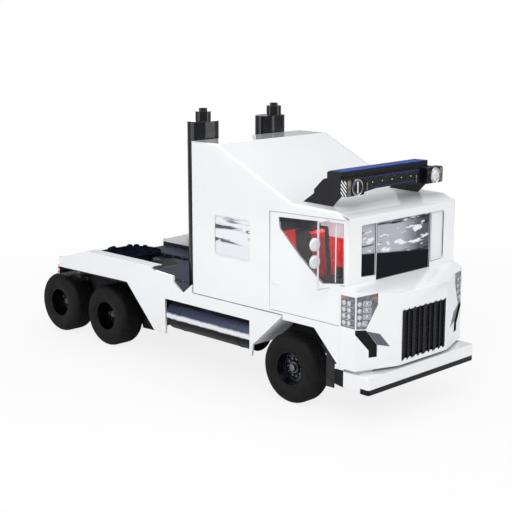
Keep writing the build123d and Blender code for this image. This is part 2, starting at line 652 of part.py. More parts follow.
def lens_plane(face, along, height):
    """The plane of a lens: on the corner's side face at a station, or on the slanted face at an x."""
    if face == "side":
        return Plane(origin=(BODY_HALF - LAMP_RECESS, along, height), x_dir=(0, -1, 0), z_dir=(1, 0, 0))
    run = BODY_HALF - FLAT_HALF
    fall = CORNER_STATION - NOSE_FACE
    length = math.hypot(run, fall)
    normal = (fall / length, -run / length, 0)
    station = CORNER_STATION - (BODY_HALF - along) * fall / run
    origin = (along - normal[0] * LAMP_RECESS, station - normal[1] * LAMP_RECESS, height)
    return Plane(origin=origin, x_dir=(-run / length, -fall / length, 0), z_dir=normal)


def lens(plane):
    """A round lamp: a bezel ring round a domed lens."""
    ring = extrude(plane * Circle(LENS_RADIUS), amount=LAMP_RECESS - 1)
    ring -= extrude(plane.offset(3) * Circle(LENS_RADIUS - 6), amount=LAMP_RECESS)
    dome = plane.offset(2) * Cone(LENS_RADIUS - 8, 10, 6, align=(Align.CENTER, Align.CENTER, Align.MIN))
    return ring + dome


def reflector(plane, length):
    """An oblong lamp: a raised rim round a bowl with its bulb."""
    rim = extrude(plane * RectangleRounded(length, REFLECTOR_HEIGHT, 30), amount=LAMP_RECESS - 1)
    rim -= extrude(plane.offset(2) * RectangleRounded(length - 14, REFLECTOR_HEIGHT - 14, 24),
                   amount=LAMP_RECESS)
    bulb = plane.offset(1) * Cone(20, 12, 7, align=(Align.CENTER, Align.CENTER, Align.MIN))
    return rim + bulb


def make_headlamps():
    """The two headlamp units: a dark tray with four rows of lamps round the corner."""
    unit = lamp_skin(LAMP_RECESS, LAMP_DEPTH)
    for row in range(LAMP_ROWS):
        height = LAMP_FIRST_ROW + row * LAMP_PITCH
        for station in SIDE_LENSES:
            unit += lens(lens_plane("side", station, height))
        unit += lens(lens_plane("slant", SLANT_LENS, height))
        cut = REFLECTOR_CUT if row == 0 else 0.0
        unit += reflector(lens_plane("slant", REFLECTOR_X + 0.8 * cut, height), REFLECTOR_LENGTH - cut)
    return both_sides(unit)


def make_grille():
    """Upright slats, proud of the nose, over strips of slanted mesh bars and a fine screen."""
    front = NOSE_FACE + 6
    back = NOSE_FACE + NOSE_WALL
    mesh_back = back - SCREEN_SHEET
    grille = block(-GRILLE_HALF, GRILLE_HALF, mesh_back, back, GRILLE_BOTTOM, GRILLE_TOP)
    x0 = -GRILLE_HALF
    slats = []
    bars = []
    for width in SLAT_WIDTHS:
        slats.append(block(x0, x0 + width, NOSE_FACE, mesh_back, GRILLE_BOTTOM, GRILLE_TOP))
        slats.append(front_prism(((x0, GRILLE_BOTTOM - SLAT_OVERHANG), (x0 + width, GRILLE_BOTTOM),
                                  (x0 + width, GRILLE_TOP + SLAT_OVERHANG), (x0, GRILLE_TOP)),
                                 NOSE_FACE - SLAT_PROUD, NOSE_FACE))
        x0 += width
        if x0 < GRILLE_HALF - 1:
            bars.append(mesh_strip(x0, front, mesh_back))
            x0 += SLAT_GAP
    for piece in slats + bars:
        grille += piece
    return grille


def mesh_strip(x0, y0, y1):
    """The slanted bars between two slats."""
    bars = Sketch()
    count = int((GRILLE_TOP - GRILLE_BOTTOM - SLAT_GAP - MESH_BAR) / MESH_PITCH) + 1
    for index in range(count):
        low = GRILLE_BOTTOM + index * MESH_PITCH
        bars += make_face(Polyline((x0, low), (x0 + SLAT_GAP, low + SLAT_GAP),
                                   (x0 + SLAT_GAP, low + SLAT_GAP + MESH_BAR), (x0, low + MESH_BAR),
                                   close=True))
    return extrude(Plane.XZ.offset(-y0) * bars, amount=-(y1 - y0))


CAB_PROFILE = (
    (NOSE_BACK, CAB_BOTTOM), (NOSE_BACK + ARCH_TOP - CAB_BOTTOM, ARCH_TOP), (ARCH_BACK, ARCH_TOP),
    (ARCH_BACK, CAB_SIDE_BOTTOM), (CAB_BACK, CAB_SIDE_BOTTOM), (CAB_BACK, ROOF_HEIGHT),
    (CREASE_STATION, ROOF_HEIGHT), (SLOPE_START, LEDGE_HEIGHT + LEDGE_RISE),
    (LEDGE_STATION, LEDGE_HEIGHT),
    (SILL_STATION, SCREEN_TOP), (SILL_STATION + WALL, SCREEN_TOP),
    (SILL_STATION + WALL, SILL_HEIGHT), (NOSE_BACK, SILL_HEIGHT),
)


def door_outline(grow):
    """The door's outline in (y, z), grown by a gap."""
    step = SILL_HEIGHT + MOVING_GAP
    return (
        (DOOR_FRONT - grow, step - grow), (DOOR_FRONT - grow, DOOR_TOP + grow),
        (DOOR_REAR + grow, DOOR_TOP - 30 + grow), (DOOR_REAR + grow, DOOR_BOTTOM - grow),
        (DOOR_LOWER_FRONT - grow, DOOR_BOTTOM - grow), (DOOR_LOWER_FRONT - grow, step - grow),
    )


# station, height: the window's front edge, top edge, short rear edge and slanted lower edge
DOOR_WINDOW = ((-1106.0, SILL_HEIGHT + 37), (-1089.0, DOOR_TOP - 42), (-716.0, DOOR_TOP - 61),
               (151.0, DOOR_TOP - 96), (129.0, DOOR_TOP - 256), (-282.0, SILL_HEIGHT + 299),
               (-711.0, SILL_HEIGHT - 21))


def sleeper_opening(x0, x1):
    """The sleeper's side window, with rounded corners."""
    opening = block(x0, x1, SLEEPER_FRONT, SLEEPER_REAR, SLEEPER_BOTTOM, SLEEPER_TOP)
    return fillet(opening.edges().filter_by(Axis.X), 70)


def make_cab_side(side):
    """One side wall, with a rounded roof edge, its door opening and its sleeper window."""
    wall = side_prism(CAB_PROFILE, INNER_HALF, BODY_HALF)
    outer = wall.edges().filter_by(lambda e: e.center().X > BODY_HALF - 1 and e.length > 2 * ROOF_ROUND)
    roof = outer.filter_by(lambda e: e.center().Z > SCREEN_TOP or e.center().Y > CAB_BACK - 1)
    wall = fillet(roof, ROOF_ROUND)
    wall -= side_prism(door_outline(MOVING_GAP), INNER_HALF - 1, BODY_HALF + 1)
    wall -= sleeper_opening(INNER_HALF - 1, BODY_HALF + 1)
    return handed(wall, side)


def hinge_rod(height, length, radius):
    """An upright bar on the +X door's hinge axis, centred on a height."""
    return rod((DOOR_SKIN, DOOR_FRONT, height - length / 2),
               (DOOR_SKIN, DOOR_FRONT, height + length / 2), radius)


def hinge_leaves():
    """The pillar's hinge barrels on the +X side."""
    leaves = Part()
    for height in HINGE_HEIGHTS:
        leaf = hinge_rod(height, HINGE_LENGTH, HINGE_RADIUS)
        leaf += block(DOOR_SKIN - HINGE_RADIUS, DOOR_SKIN + HINGE_RADIUS, SILL_STATION + WALL - 1,
                      DOOR_FRONT, height - HINGE_LENGTH / 2, height + HINGE_LENGTH / 2)
        leaves += leaf - hinge_rod(height, HINGE_LENGTH + 2, HINGE_PIN_RADIUS + RUNNING_GAP)
    return leaves


def make_door(side):
    """One door with its window opening, notched round the pillar's hinge barrels."""
    door = side_prism(door_outline(0), INNER_HALF, DOOR_SKIN)
    door -= side_prism(DOOR_WINDOW, INNER_HALF - 1, DOOR_SKIN + 1)
    for height in HINGE_HEIGHTS:
        notch = HINGE_LENGTH + 2
        door -= hinge_rod(height, notch, HINGE_RADIUS + MOVING_GAP)
        for end in (-1, 1):
            door += hinge_rod(height + end * (notch + HINGE_LENGTH / 2) / 2, HINGE_LENGTH / 2,
                              HINGE_RADIUS)
        door += hinge_rod(height, notch + 2, HINGE_PIN_RADIUS)
    return handed(door, side)


def make_door_glass(side):
    """One door window."""
    middle = (INNER_HALF + DOOR_SKIN) / 2
    return handed(side_prism(DOOR_WINDOW, middle - GLASS / 2, middle + GLASS / 2), side)


def make_roof():
    """Roof sheet: brow, ledge, sloping fairing and flat rear, between the side walls."""
    shelf = LEDGE_HEIGHT + LEDGE_RISE
    top = ((SILL_STATION, SCREEN_TOP), (LEDGE_STATION, LEDGE_HEIGHT),
           (SLOPE_START, shelf), (CREASE_STATION, ROOF_HEIGHT), (CAB_BACK, ROOF_HEIGHT))
    under = ((CAB_BACK, ROOF_HEIGHT - WALL), (CREASE_STATION + 10, ROOF_HEIGHT - WALL),
             (SLOPE_START + 10, shelf - WALL), (LEDGE_STATION + 20, LEDGE_HEIGHT - WALL),
             (SILL_STATION + WALL, SCREEN_TOP))
    return side_prism(top + under, -INNER_HALF, INNER_HALF)


def make_cab_back():
    """Rear wall between the side walls, under the roof."""
    return block(-INNER_HALF, INNER_HALF, CAB_BACK - WALL, CAB_BACK,
                 CAB_SIDE_BOTTOM, ROOF_HEIGHT - WALL)


def make_cab_floor():
    """Flat floor from the nose to the rear wall, set in a little beside the doors."""
    top = CAB_SIDE_BOTTOM + FLOOR_THICKNESS
    floor = plan_prism(nose_plan(WALL, CAB_BACK - WALL), CAB_SIDE_BOTTOM, top)
    clear = block(INNER_HALF - MOVING_GAP, BODY_HALF, DOOR_FRONT - MOVING_GAP,
                  DOOR_REAR + MOVING_GAP, CAB_SIDE_BOTTOM - 1, top + 1)
    return floor - clear - mirror(clear, Plane.YZ)


def make_cab_glass():
    """Windscreen with its quarter panes, and the two sleeper windows."""
    back = SILL_STATION + WALL / 2 + GLASS / 2
    screen = screen_openings(back - GLASS, back)
    middle = BODY_HALF - WALL / 2
    sleeper = sleeper_opening(middle - GLASS / 2, middle + GLASS / 2)
    return Compound(children=[*screen.solids(), *both_sides(sleeper).solids()])


def make_visor():
    """Roof visor: two cheek plates, a hood between them and a lamp bar with an end pod each side."""
    # behind the ledge's front edge, above the ledge
    outline = ((355, 508), (393, 490), (391, 405), (467, 383), (637, 222), (637, 164),
               (SLOPE_START - LEDGE_STATION, LEDGE_RISE), (290, 7), (125, 170), (132, 512))
    cheek_points = [(LEDGE_STATION + back, LEDGE_HEIGHT + up) for back, up in outline]
    inner = CHEEK_OUTER - CHEEK_THICKNESS
    cheek = side_prism(cheek_points, inner, CHEEK_OUTER)
    low = LEDGE_HEIGHT + 190
    high = LEDGE_HEIGHT + 430
    hood = block(-inner, inner, BAR_BACK, BAR_BACK + 218, high - 2, LEDGE_HEIGHT + 512)
    lip = block(-inner, inner, BAR_FRONT, BAR_BACK, high - 14, high + 4)
    bar = front_prism(((-POD_INNER, low), (-POD_INNER / 2, low + BAR_ARCH),
                       (POD_INNER / 2, low + BAR_ARCH), (POD_INNER, low), (POD_INNER, high),
                       (-POD_INNER, high)), BAR_FRONT, BAR_BACK)
    bar += block(-inner, inner, BAR_BACK - 20, BAR_BACK + 158, low + BAR_ARCH, high)
    pod = block(POD_INNER, BAR_HALF, POD_FRONT, POD_BACK, low, high)
    pod += block(POD_INNER, inner, POD_BACK, BAR_BACK, low, high)
    pod -= roof_lamp(1)
    return cheek + mirror(cheek, Plane.YZ) + hood + lip + bar + pod + mirror(pod, Plane.YZ)


def roof_lamp(clearance):
    """The round lamp of the +X pod: a short drum with a domed face."""
    height = LEDGE_HEIGHT + 310
    back = POD_FRONT + 40 + clearance
    drum = rod((ROOF_LAMP_X, POD_FRONT - ROOF_LAMP_PROUD, height), (ROOF_LAMP_X, back, height),
               ROOF_LAMP_RADIUS)
    return drum


def make_roof_lamps():
    """Round lamps on the pods, amber blocks at the pods' ends and edges, and small markers."""
    lamp = roof_lamp(0)
    dish = Plane(origin=(ROOF_LAMP_X, POD_FRONT - ROOF_LAMP_PROUD, LEDGE_HEIGHT + 310),
                 z_dir=(0, 1, 0))
    lamp -= extrude(dish * Circle(ROOF_LAMP_RADIUS - 12), amount=14)
    lamp += extrude(dish * Circle(30), amount=24)
    lamps = both_sides(lamp).solids()
    # centre x, half width, bottom and top over the ledge, front station, back station
    ambers = (
        (BAR_HALF - AMBER_WIDTH / 2 - 3, AMBER_WIDTH / 2, 200, 420, POD_FRONT - 14, POD_FRONT),
        (570.0, 17.0, 225, 340, BAR_FRONT - 14, BAR_FRONT),
    )
    for centre, half, low, high, front, back in ambers:
        amber = block(centre - half, centre + half, front, back, LEDGE_HEIGHT + low,
                      LEDGE_HEIGHT + high)
        lamps += both_sides(amber).solids()
    for offset in (-440.0, -220.0, 0.0, 220.0, 440.0):
        lamps.append(rod((offset, BAR_FRONT - 12, LEDGE_HEIGHT + 330),
                         (offset, BAR_FRONT, LEDGE_HEIGHT + 330), 14).solid())
    return Compound(children=lamps)


# ---- Cab interior -----------------------------------------------------------
SEAT_X = 640.0
SEAT_FRONT = -560.0
SEAM_GAP = 0.3
SEAT_BACK = -90.0
LINING = 50.0
BUNK_FRONT = 1150.0
BUNK_BASE = 250.0
MATTRESS = 170.0
WHEEL_HUB = (-SEAT_X, -740.0, SILL_HEIGHT + 45.0)
FLOOR_TOP = CAB_SIDE_BOTTOM + FLOOR_THICKNESS


def make_seats():
    """Driver's and passenger's seats: pedestal, side bolsters and shell behind the cushions."""
    base = FLOOR_TOP + 330
    front, back = SEAT_FRONT, SEAT_BACK
    seat = block(SEAT_X - 190, SEAT_X + 190, front + 100, back, FLOOR_TOP, base)
    seat += block(SEAT_X - 270, SEAT_X + 270, front, back + 40, base, base + 50)
    for side in (-1, 1):
        centre = SEAT_X + side * 245
        seat += block(centre - 25, centre + 25, front, back + 40, base, base + 140)
        seat += side_prism(((back - 40, base + 90), (back + 150, base + 90),
                            (back + 230, base + 850), (back + 40, base + 850)),
                           centre - 25, centre + 25)
    seat += side_prism(((back + 90, base), (back + 150, base), (back + 230, base + 850),
                        (back + 170, base + 850)), SEAT_X - 270, SEAT_X + 270)
    seat += side_prism(((back + 175, base + 830), (back + 225, base + 830),
                        (back + 240, base + 1030), (back + 190, base + 1030)),
                       SEAT_X - 150, SEAT_X + 150)
    return both_sides(seat)


def make_seat_pads():
    """Cushions of the two seats: seat, back and headrest."""
    base = FLOOR_TOP + 380
    front, back = SEAT_FRONT, SEAT_BACK
    low = SEAT_X - 220 + SEAM_GAP
    high = SEAT_X + 220 - SEAM_GAP
    squab = block(low, high, front + 4, back - 45, base + SEAM_GAP, base + 110)
    rest = side_prism(((back - 40, base + 10), (back + 95.3, base + 10), (back + 169.2, base + 795),
                       (back + 45, base + 795)), low, high)
    head = side_prism(((back + 80, base + 805), (back + 176.5, base + 805),
                       (back + 189.3, base + 975), (back + 105, base + 975)),
                      SEAT_X - 140, SEAT_X + 140)
    return Compound(children=[p for c in (squab, rest, head) for p in both_sides(c).solids()])


def make_dashboard():
    """Dashboard under the windscreen, with the steering column and wheel."""
    front = SILL_STATION + WALL
    top = SILL_HEIGHT - NOSE_WALL
    dash = side_prism(((front, top - 250), (front + 300, top - 250), (front + 360, top - 90),
                       (front + 260, top), (front, top)), -INNER_HALF + 60, INNER_HALF - 60)
    column = rod((-SEAT_X, front + 200, top - 150), WHEEL_HUB, 35)
    tilt = Plane(origin=WHEEL_HUB, z_dir=(0, 0.45, 1))
    wheel = tilt * Torus(225, 16)
    spoke = tilt * Box(430, 50, 16)
    return dash + column + wheel + spoke


def make_bunk():
    """Mattress of the sleeper bunk behind the seats."""
    half = INNER_HALF - LINING - 4
    base = FLOOR_TOP + BUNK_BASE + SEAM_GAP
    bunk = block(-half, half, BUNK_FRONT + 10, CAB_BACK - WALL - LINING - 4, base, base + MATTRESS)
    return fillet(bunk.edges().group_by(Axis.Z)[-1], 50)


def make_sleeper_lining():
    """Bunk base and the padded lining round it, below the sleeper windows."""
    top = SLEEPER_BOTTOM - 10
    rear = CAB_BACK - WALL
    lining = block(-INNER_HALF, INNER_HALF, BUNK_FRONT, rear, FLOOR_TOP, top)
    lining -= block(-INNER_HALF + LINING, INNER_HALF - LINING, BUNK_FRONT - 1, rear - LINING,
                    FLOOR_TOP + BUNK_BASE, top + 1)
    return lining


# ---- Side fairing and tanks -------------------------------------------------
ARCH_FOOT = 3000.0
ARCH_SHOULDER = 3715.0
LINER_INNER = 700.0
SCREEN_PLATE_X = 560.0


def fairing_profile():
    """The side fairing's outline in (y, z), from the front wheel arch to the tail."""
    front = ARCH_BACK + MOVING_GAP
    back = CAB_BACK + 20
    shoulder = TANK_HEIGHT + TANK_RADIUS + TANK_GAP
    seam = CAB_SIDE_BOTTOM - 15
    return (
        (front, seam), (front, seam - 15), (TANK_FRONT - 90, 790.0),
        (TANK_FRONT - 60, 600.0), (TANK_FRONT - TANK_GAP, 600.0), (TANK_FRONT - TANK_GAP, shoulder),
        (TANK_REAR + TANK_GAP, shoulder), (TANK_REAR + TANK_GAP, 560.0), (ARCH_FOOT, 555.0),
        (ARCH_SHOULDER, 1270.0), (FAIRING_REAR, 1240.0), (FAIRING_REAR, 1420.0),
        (FAIRING_REAR - 90, 1430.0), (FAIRING_FALL, FAIRING_TOP), (FAIRING_RISE, FAIRING_TOP),
        (FAIRING_RISE - 20, FAIRING_TOP - 45), (2510.0, 1560.0), (2510.0, 1460.0),
        (2290.0, 1310.0), (back, 1490.0), (back, seam),
    )


def make_fairings():
    """Outer side panels with an inward flange along their top edges."""
    panel = side_prism(fairing_profile(), BODY_HALF - FAIRING_WALL, BODY_HALF)
    panel += block(BODY_HALF - FAIRING_FLANGE, BODY_HALF - 5, FAIRING_RISE, FAIRING_FALL,
                   FAIRING_TOP - 25, FAIRING_TOP)
    return both_sides(panel)


def make_tanks():
    """Round fuel tanks, each with a filler neck and two straps."""
    centre = BODY_HALF - TANK_RADIUS
    tank = rod((centre, TANK_FRONT, TANK_HEIGHT), (centre, TANK_REAR, TANK_HEIGHT),
               TANK_RADIUS - STRAP)
    tank = fillet(tank.edges().filter_by(GeomType.CIRCLE), 25)
    for station in TANK_STRAPS:
        tank += rod((centre, station - 25, TANK_HEIGHT), (centre, station + 25, TANK_HEIGHT),
                    TANK_RADIUS)
    return both_sides(tank)


def make_liners():
    """Dark inner arches: over the driven wheels, behind and beside the front wheels."""
    x0 = LINER_INNER
    x1 = BODY_HALF - FAIRING_WALL
    rear = side_prism(((ARCH_SHOULDER - 15, 1235), (FAIRING_REAR, 1205), (FAIRING_REAR, 1220),
                       (ARCH_SHOULDER - 21, 1250), (ARCH_FOOT + 30, 585), (ARCH_FOOT + 40, 575)),
                      x0, x1)
    guard = side_prism(((ARCH_BACK + 40, 1300), (TANK_FRONT - 70, 770), (TANK_FRONT - 55, 780),
                        (ARCH_BACK + 60, 1310)), x0, x1)
    inner = block(SCREEN_PLATE_X, SCREEN_PLATE_X + 15, -1120, -560, 480, 1290)
    inner += block(RAIL_OUTER, SCREEN_PLATE_X + 5, -1000, -940, RAIL_BOTTOM + 90, RAIL_BOTTOM + 140)
    return Compound(children=[p for c in (rear, guard, inner) for p in both_sides(c).solids()])


# ---- Deck and fifth wheel ---------------------------------------------------
def make_deck():
    """Tread-plate deck behind the cab, with a wing over the wheels each side and two raised bands."""
    half = BODY_HALF - FAIRING_WALL
    outline = (
        (half, DECK_FRONT), (half, WING_REAR), (WING_INNER, WING_REAR), (WING_INNER, DECK_REAR),
        (APPROACH_HALF, DECK_REAR), (APPROACH_HALF, APPROACH_REAR), (-APPROACH_HALF, APPROACH_REAR),
        (-APPROACH_HALF, DECK_REAR), (-WING_INNER, DECK_REAR), (-WING_INNER, WING_REAR),
        (-half, WING_REAR), (-half, DECK_FRONT),
    )
    deck = plan_prism(outline, DECK_TOP - DECK_THICKNESS, DECK_TOP)
    tip = ((APPROACH_TIP, DECK_REAR - 100), (APPROACH_HALF, APPROACH_REAR),
           (-APPROACH_HALF, APPROACH_REAR), (-APPROACH_TIP, DECK_REAR - 100))
    deck += plan_prism(tip, DECK_TOP, DECK_TOP + BAND_HEIGHT)
    for side in (-1, 1):
        band = block(WING_INNER - BAND_WIDTH, WING_INNER, STACK_STATION + 300, DECK_REAR,
                     DECK_TOP, DECK_TOP + BAND_HEIGHT)
        deck += handed(band, side)
    return deck


def make_fifth_base():
    """Mounting plate on the frame rails, with a bracket at each side for the pivot pin."""
    pin_height = FIFTH_TOP - FIFTH_PIN_DROP
    base = block(-RAIL_OUTER, RAIL_OUTER, FIFTH_STATION - 420, FIFTH_STATION + 420,
                 OUTRIGGER_TOP, OUTRIGGER_TOP + 14)
    for side in (-1, 1):
        ear = side_prism(((FIFTH_STATION - 160, OUTRIGGER_TOP), (FIFTH_STATION + 160, OUTRIGGER_TOP),
                          (FIFTH_STATION + EAR_RADIUS, pin_height),
                          (FIFTH_STATION - EAR_RADIUS, pin_height)), EAR_X, EAR_X + EAR_WIDTH)
        ear += rod((EAR_X, FIFTH_STATION, pin_height), (EAR_X + EAR_WIDTH, FIFTH_STATION, pin_height),
                   EAR_RADIUS)
        base += handed(ear, side)
    base -= rod((-500, FIFTH_STATION, pin_height), (500, FIFTH_STATION, pin_height),
                EAR_PIN_RADIUS + RUNNING_GAP)
    return base


def make_fifth_wheel():
    """Coupling plate with its throat, ramps and skirt, on trunnion lugs with a pivot pin."""
    pin_height = FIFTH_TOP - FIFTH_PIN_DROP
    radius = FIFTH_HALF
    bottom = FIFTH_TOP - FIFTH_THICKNESS
    outline = Pos(0, FIFTH_STATION, bottom) * Circle(radius)
    ramp_end = FIFTH_STATION + radius + RAMP_REACH
    outline += make_face(Polyline((-RAMP_OUTER, FIFTH_STATION, bottom), (RAMP_OUTER, FIFTH_STATION, bottom),
                                  (RAMP_OUTER, ramp_end, bottom), (-RAMP_OUTER, ramp_end, bottom),
                                  close=True))
    plate = extrude(outline, amount=FIFTH_THICKNESS)
    throat = plan_prism(((-JAW_RADIUS, FIFTH_STATION), (JAW_RADIUS, FIFTH_STATION),
                         (JAW_RADIUS, FIFTH_STATION + JAW_LENGTH),
                         (THROAT_HALF, ramp_end + 1), (-THROAT_HALF, ramp_end + 1),
                         (-JAW_RADIUS, FIFTH_STATION + JAW_LENGTH)), bottom - 1, FIFTH_TOP + 1)
    throat += rod((0, FIFTH_STATION, bottom - 1), (0, FIFTH_STATION, FIFTH_TOP + 1), JAW_RADIUS)
    plate -= throat
    slope = side_prism(((FIFTH_STATION + RAMP_START, FIFTH_TOP), (ramp_end + 1, bottom + 18),
                        (ramp_end + 1, FIFTH_TOP + 1), (FIFTH_STATION + RAMP_START, FIFTH_TOP + 1)),
                       -radius - 1, radius + 1)
    plate -= slope
    for x0, y0 in GREASE_POCKETS:
        pocket = Pos(0, 0, FIFTH_TOP - 4) * Pos(x0, FIFTH_STATION + y0) * Cylinder(
            34, 10, align=(Align.CENTER, Align.CENTER, Align.MIN))
        plate -= pocket
        plate -= mirror(pocket, Plane.YZ)
    for side in (-1, 1):
        for x0 in (EAR_X - MOVING_GAP - EAR_LUG, EAR_X + EAR_WIDTH + MOVING_GAP):
            lug = block(x0, x0 + EAR_LUG, FIFTH_STATION - 50, FIFTH_STATION + 50,
                        pin_height - 30, bottom)
            plate += handed(lug, side)
        reach = MOVING_GAP + EAR_LUG
        pin = rod((EAR_X - reach, FIFTH_STATION, pin_height),
                  (EAR_X + EAR_WIDTH + reach, FIFTH_STATION, pin_height), EAR_PIN_RADIUS)
        plate += handed(pin, side)
    return plate


def make_stacks():
    """Exhaust: an oblong shroud and a round pipe at each rear corner of the cab."""
    outline = RectangleRounded(2 * SHROUD_HALF_X, 2 * SHROUD_HALF_Y, SHROUD_HALF_Y - 1)
    shroud = extrude(Plane.XY.offset(DECK_TOP) * outline, amount=STACK_TOP - DECK_TOP)
    shroud = Pos(STACK_X, STACK_STATION, 0) * shroud
    pipe = rod((PIPE_X, PIPE_STATION, STACK_TOP - 10), (PIPE_X, PIPE_STATION, PIPE_TOP - COLLAR_HEIGHT),
               PIPE_RADIUS)
    collar = rod((PIPE_X, PIPE_STATION, PIPE_TOP - COLLAR_HEIGHT - 10), (PIPE_X, PIPE_STATION, PIPE_TOP),
                 COLLAR_RADIUS)
    return both_sides(shroud + pipe + collar)


def make_mirror(side):
    """Outside mirror: a post on two arms from the door, with two round heads."""
    skin = DOOR_SKIN
    low = SILL_HEIGHT - 60
    high = DOOR_TOP - 27
    station = MIRROR_STATION
    mirror_set = rod((MIRROR_POST_X, station, low - POST_RADIUS),
                     (MIRROR_POST_X, station, high + POST_RADIUS), POST_RADIUS)
    for height in (low, high):
        mirror_set += rod((skin, station, height), (MIRROR_POST_X, station, height), ARM_RADIUS)
    for height in MIRROR_HEIGHTS:
        front = station - MIRROR_DEPTH / 2
        back = station + MIRROR_DEPTH / 2
        head = rod((MIRROR_HEAD_X, front, height), (MIRROR_HEAD_X, back, height), MIRROR_RADIUS)
        head = fillet(head.edges().group_by(Axis.Y)[0], 24)
        mirror_set += head
    return handed(mirror_set, side)


def make_tail_lamps():
    """Lamp boards at the rear ends of the side fairings."""
    board = block(870, BODY_HALF, FAIRING_REAR, FAIRING_REAR + 50, 1110, 1270)
    return both_sides(board)


def build():
    """Makes every sub-part and writes it."""
    os.makedirs("parts", exist_ok=True)
    save("frame_rails", make_frame())
    save("crossmembers", make_crossmembers())
    save("front_axle_beam", make_front_axle())
    save("drive_axles", Compound(children=[make_drive_axle(s) for s in DRIVE_STATIONS]))
    save("springs", make_springs())
    save("drive_shafts", make_shafts())
    save("engine_block", make_engine())
    save("bumper", make_bumper())
    save("bumper_lip", make_lip())
    save("side_fairings", make_fairings())
    save("fuel_tanks", make_tanks())
    save("arch_liners", make_liners())
    save("rear_deck", make_deck())
    save("fifth_wheel_base", make_fifth_base())
    save("fifth_wheel", make_fifth_wheel())
    save("exhaust_stacks", make_stacks())
    save("tail_lamps", make_tail_lamps())
    save("tie_rod", make_tie_rod())
    for side, name in ((-1, "right"), (1, "left")):
        save(f"knuckle_{name}", make_knuckle(side))
        save(f"door_{name}", make_door(side))
        save(f"door_glass_{name}", make_door_glass(side))
        save(f"mirror_{name}", make_mirror(side))
        save(f"cab_side_{name}", make_cab_side(side))
        # wheel name, station, track, tyre width, dish depth, hub bore
        wheels = (
            ("front", 0.0, FRONT_TRACK, FRONT_TYRE_WIDTH, 10.0, STUB_RADIUS + RUNNING_GAP),
            ("drive", FIRST_DRIVE_STATION, REAR_TRACK, REAR_TYRE_WIDTH, -60.0, SPINDLE_RADIUS + RUNNING_GAP),
            ("rear", SECOND_DRIVE_STATION, REAR_TRACK, REAR_TYRE_WIDTH, -60.0, SPINDLE_RADIUS + RUNNING_GAP),
        )
        for place, station, track, width, dish, bore in wheels:
            rim, tyre = make_wheel(side, station, track, width, dish, bore)
            save(f"{place}_rim_{name}", rim)
            save(f"{place}_tyre_{name}", tyre)
    save("cab_front", make_cab_front())
    save("cab_roof", make_roof())
    save("cab_back", make_cab_back())
    save("cab_floor", make_cab_floor())
    save("cab_glass", make_cab_glass())
    save("grille", make_grille())
    save("headlamps", make_headlamps())
    save("roof_visor", make_visor())
    save("roof_lamps", make_roof_lamps())
    save("seats", make_seats())
    save("seat_pads", make_seat_pads())
    save("dashboard", make_dashboard())
    save("bunk", make_bunk())
    save("sleeper_lining", make_sleeper_lining())


build()
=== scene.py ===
"""Looks of a cab-over road tractor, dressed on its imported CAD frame.

Each sub-assembly is a class: its sizes are dataclass fields in metres, its methods build the
meshes and give them their finishes. Heights are over the ground, and a station is the distance
behind the front axle.
"""

import logging
import math
from dataclasses import dataclass, field
from enum import Enum
from functools import cached_property
from typing import Callable, Iterable, Sequence

import bmesh
import bpy
from mathutils import Matrix, Vector


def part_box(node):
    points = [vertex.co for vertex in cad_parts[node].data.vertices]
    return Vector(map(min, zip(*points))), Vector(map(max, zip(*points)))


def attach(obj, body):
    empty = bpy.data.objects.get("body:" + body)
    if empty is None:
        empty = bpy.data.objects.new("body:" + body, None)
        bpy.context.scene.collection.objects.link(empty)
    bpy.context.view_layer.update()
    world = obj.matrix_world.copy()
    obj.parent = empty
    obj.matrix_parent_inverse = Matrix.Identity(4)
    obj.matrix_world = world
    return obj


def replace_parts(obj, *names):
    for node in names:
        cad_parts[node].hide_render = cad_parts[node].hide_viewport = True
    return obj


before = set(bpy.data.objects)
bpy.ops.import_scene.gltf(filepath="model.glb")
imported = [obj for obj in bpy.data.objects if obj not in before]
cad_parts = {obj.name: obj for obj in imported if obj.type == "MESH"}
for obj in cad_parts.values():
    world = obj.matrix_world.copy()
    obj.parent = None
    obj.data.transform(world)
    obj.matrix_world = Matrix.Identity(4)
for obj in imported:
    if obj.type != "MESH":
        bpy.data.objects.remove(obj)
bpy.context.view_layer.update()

LOG = logging.getLogger("tractor")
logging.basicConfig(level=logging.INFO, format="%(name)s: %(message)s")

Colour = tuple[float, float, float]
Point = tuple[float, float, float]
Span = tuple[float, float]
Outline = Sequence[Span]
Socket = bpy.types.NodeSocket
Work = bmesh.types.BMesh
Vert = bmesh.types.BMVert
Edge = bmesh.types.BMEdge
Face = bmesh.types.BMFace

AXLE_Y = -2.361          # row y of the front axle
BODY_HALF = 1.25         # the painted sides
DOOR_SKIN = 1.24         # the doors' outer skin
AXLE_HEIGHT = 0.534
LEDGE_Z = 3.03           # the roof ledge that carries the visor
CORNER = -1.34           # station of the nose's side corner
SLANT_RUN = BODY_HALF - 0.576    # the slanted corner face's reach across
SLANT_FALL = 0.246               # and how far it leads forward
SLANT_OUT = Vector((SLANT_FALL, -SLANT_RUN, 0)).normalized()


class Side(Enum):
    """The vehicle's two sides, with the sign of their x."""

    LEFT = 1
    RIGHT = -1

    @property
    def label(self) -> str:
        """The side's name as the CAD nodes spell it."""
        return self.name.lower()


class Grain(Enum):
    """Fine relief that a finish may carry."""

    PEEL = "peel"
    CAST = "cast"
    MOULDED = "moulded"
    BRUSHED = "brushed"
    HIDE = "hide"
    TREAD_PLATE = "tread_plate"
    FLUTED = "fluted"
    WOVEN = "woven"
    QUILTED = "quilted"


def slant_y(across: float) -> float:
    """Row y of the nose's slanted corner face at a distance from the centre plane."""
    return AXLE_Y + CORNER - (BODY_HALF - across) * SLANT_FALL / SLANT_RUN


def within(value: float, span: Span) -> bool:
    """Whether a number lies between two others."""
    return span[0] < value < span[1]


